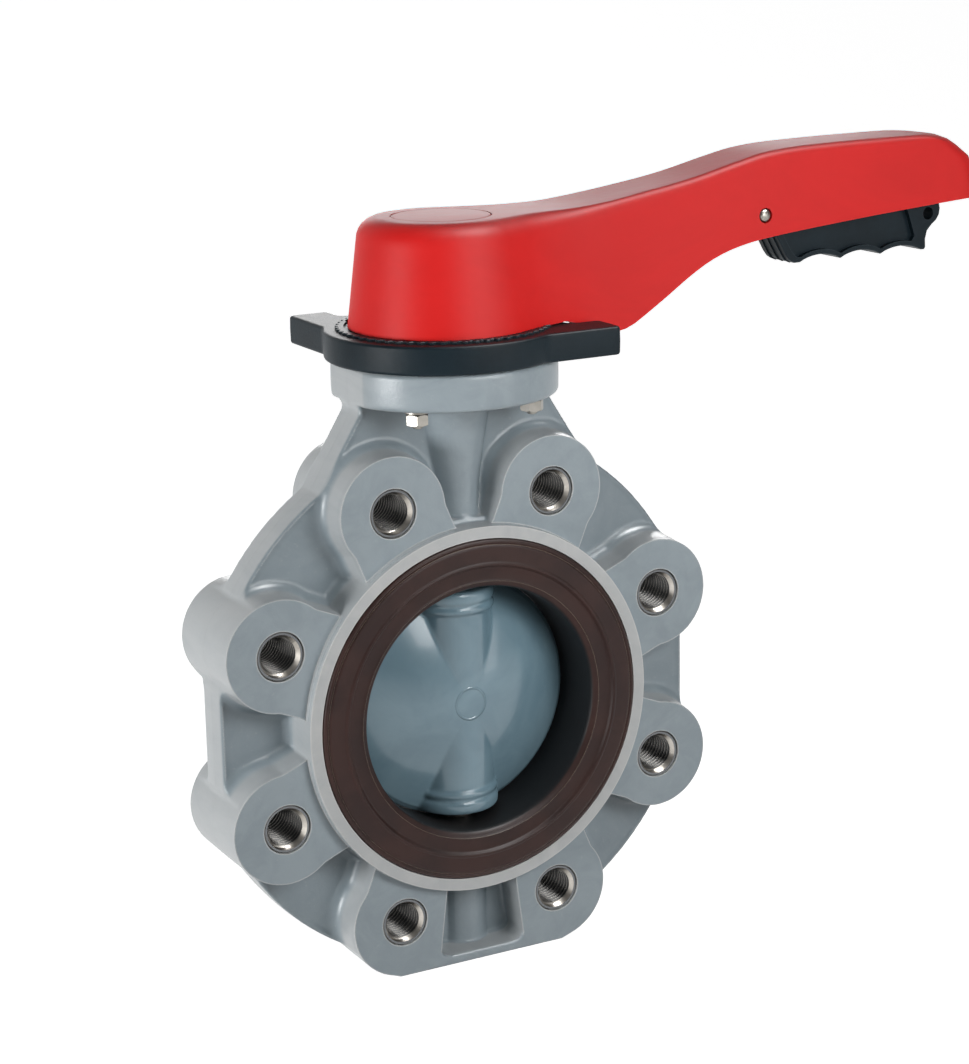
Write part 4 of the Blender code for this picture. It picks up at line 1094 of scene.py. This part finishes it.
makeSweep()
world = bpy.data.worlds.new("studioAir")
bpy.context.scene.world = world
world.use_nodes = True
world.node_tree.nodes["Background"].inputs["Color"].default_value = (1.0, 1.0, 1.0, 1.0)
world.node_tree.nodes["Background"].inputs["Strength"].default_value = studio["worldLight"]
lights = [("leftSoftbox", (-1.40, -0.15, 0.10), (0.0, 0.0, 0.12), (0.50, 0.60), 21.0),
          ("nearSoftbox", (0.12, -0.50, 0.38), (0.0, 0.0, 0.18), (0.30, 0.25), 1.75),
          ("frontFill", (0.90, -1.20, 0.30), (0.0, 0.0, 0.15), (0.5, 0.5), 2.5)]
shineLights = [("shineBox", (0.35, -0.30, 1.05), (0.0, 0.0, 0.15), (0.50, 0.40), 18.0),
               ("backBox", (0.50, 0.96, 0.46), (0.0, 0.0, 0.29), (0.70, 0.35), 4.0)]
for settings in lights:
    addLight(*settings)
for settings in shineLights:  # these only draw highlights, along the fillets and over the handle's top
    addLight(*settings).visible_diffuse = False

cameraSettings = {"azimuth": -28.057, "elevation": 14.481, "roll": -1.160, "distance": 1.02928,
                  "slideRight": 0.012951, "slideUp": 0.064398, "lens": 87.0}


def makeCamera():
    turn, lift, roll = (math.radians(cameraSettings[name]) for name in ("azimuth", "elevation", "roll"))
    back = Vector((math.sin(turn) * math.cos(lift), -math.cos(turn) * math.cos(lift), math.sin(lift)))
    right = (-back).cross(Vector((0, 0, 1))).normalized()
    up = right.cross(-back)
    across = right * math.cos(roll) + up * math.sin(roll)
    upward = up * math.cos(roll) - right * math.sin(roll)
    place = (Vector((0, 0, boreHeight)) + across * cameraSettings["slideRight"] + upward * cameraSettings["slideUp"]
             + back * cameraSettings["distance"])
    camera = bpy.data.cameras.new("studioCamera")
    camera.lens = cameraSettings["lens"]
    camera.sensor_width = 36.0
    camera.clip_start = 0.01
    viewer = bpy.data.objects.new("studioCamera", camera)
    bpy.context.scene.collection.objects.link(viewer)
    turned = Matrix((across, upward, back)).transposed().to_4x4()
    viewer.matrix_world = Matrix.Translation(place) @ turned
    bpy.context.scene.camera = viewer


makeCamera()
bpy.context.scene.view_settings.view_transform = "Standard"
print("studio ready")
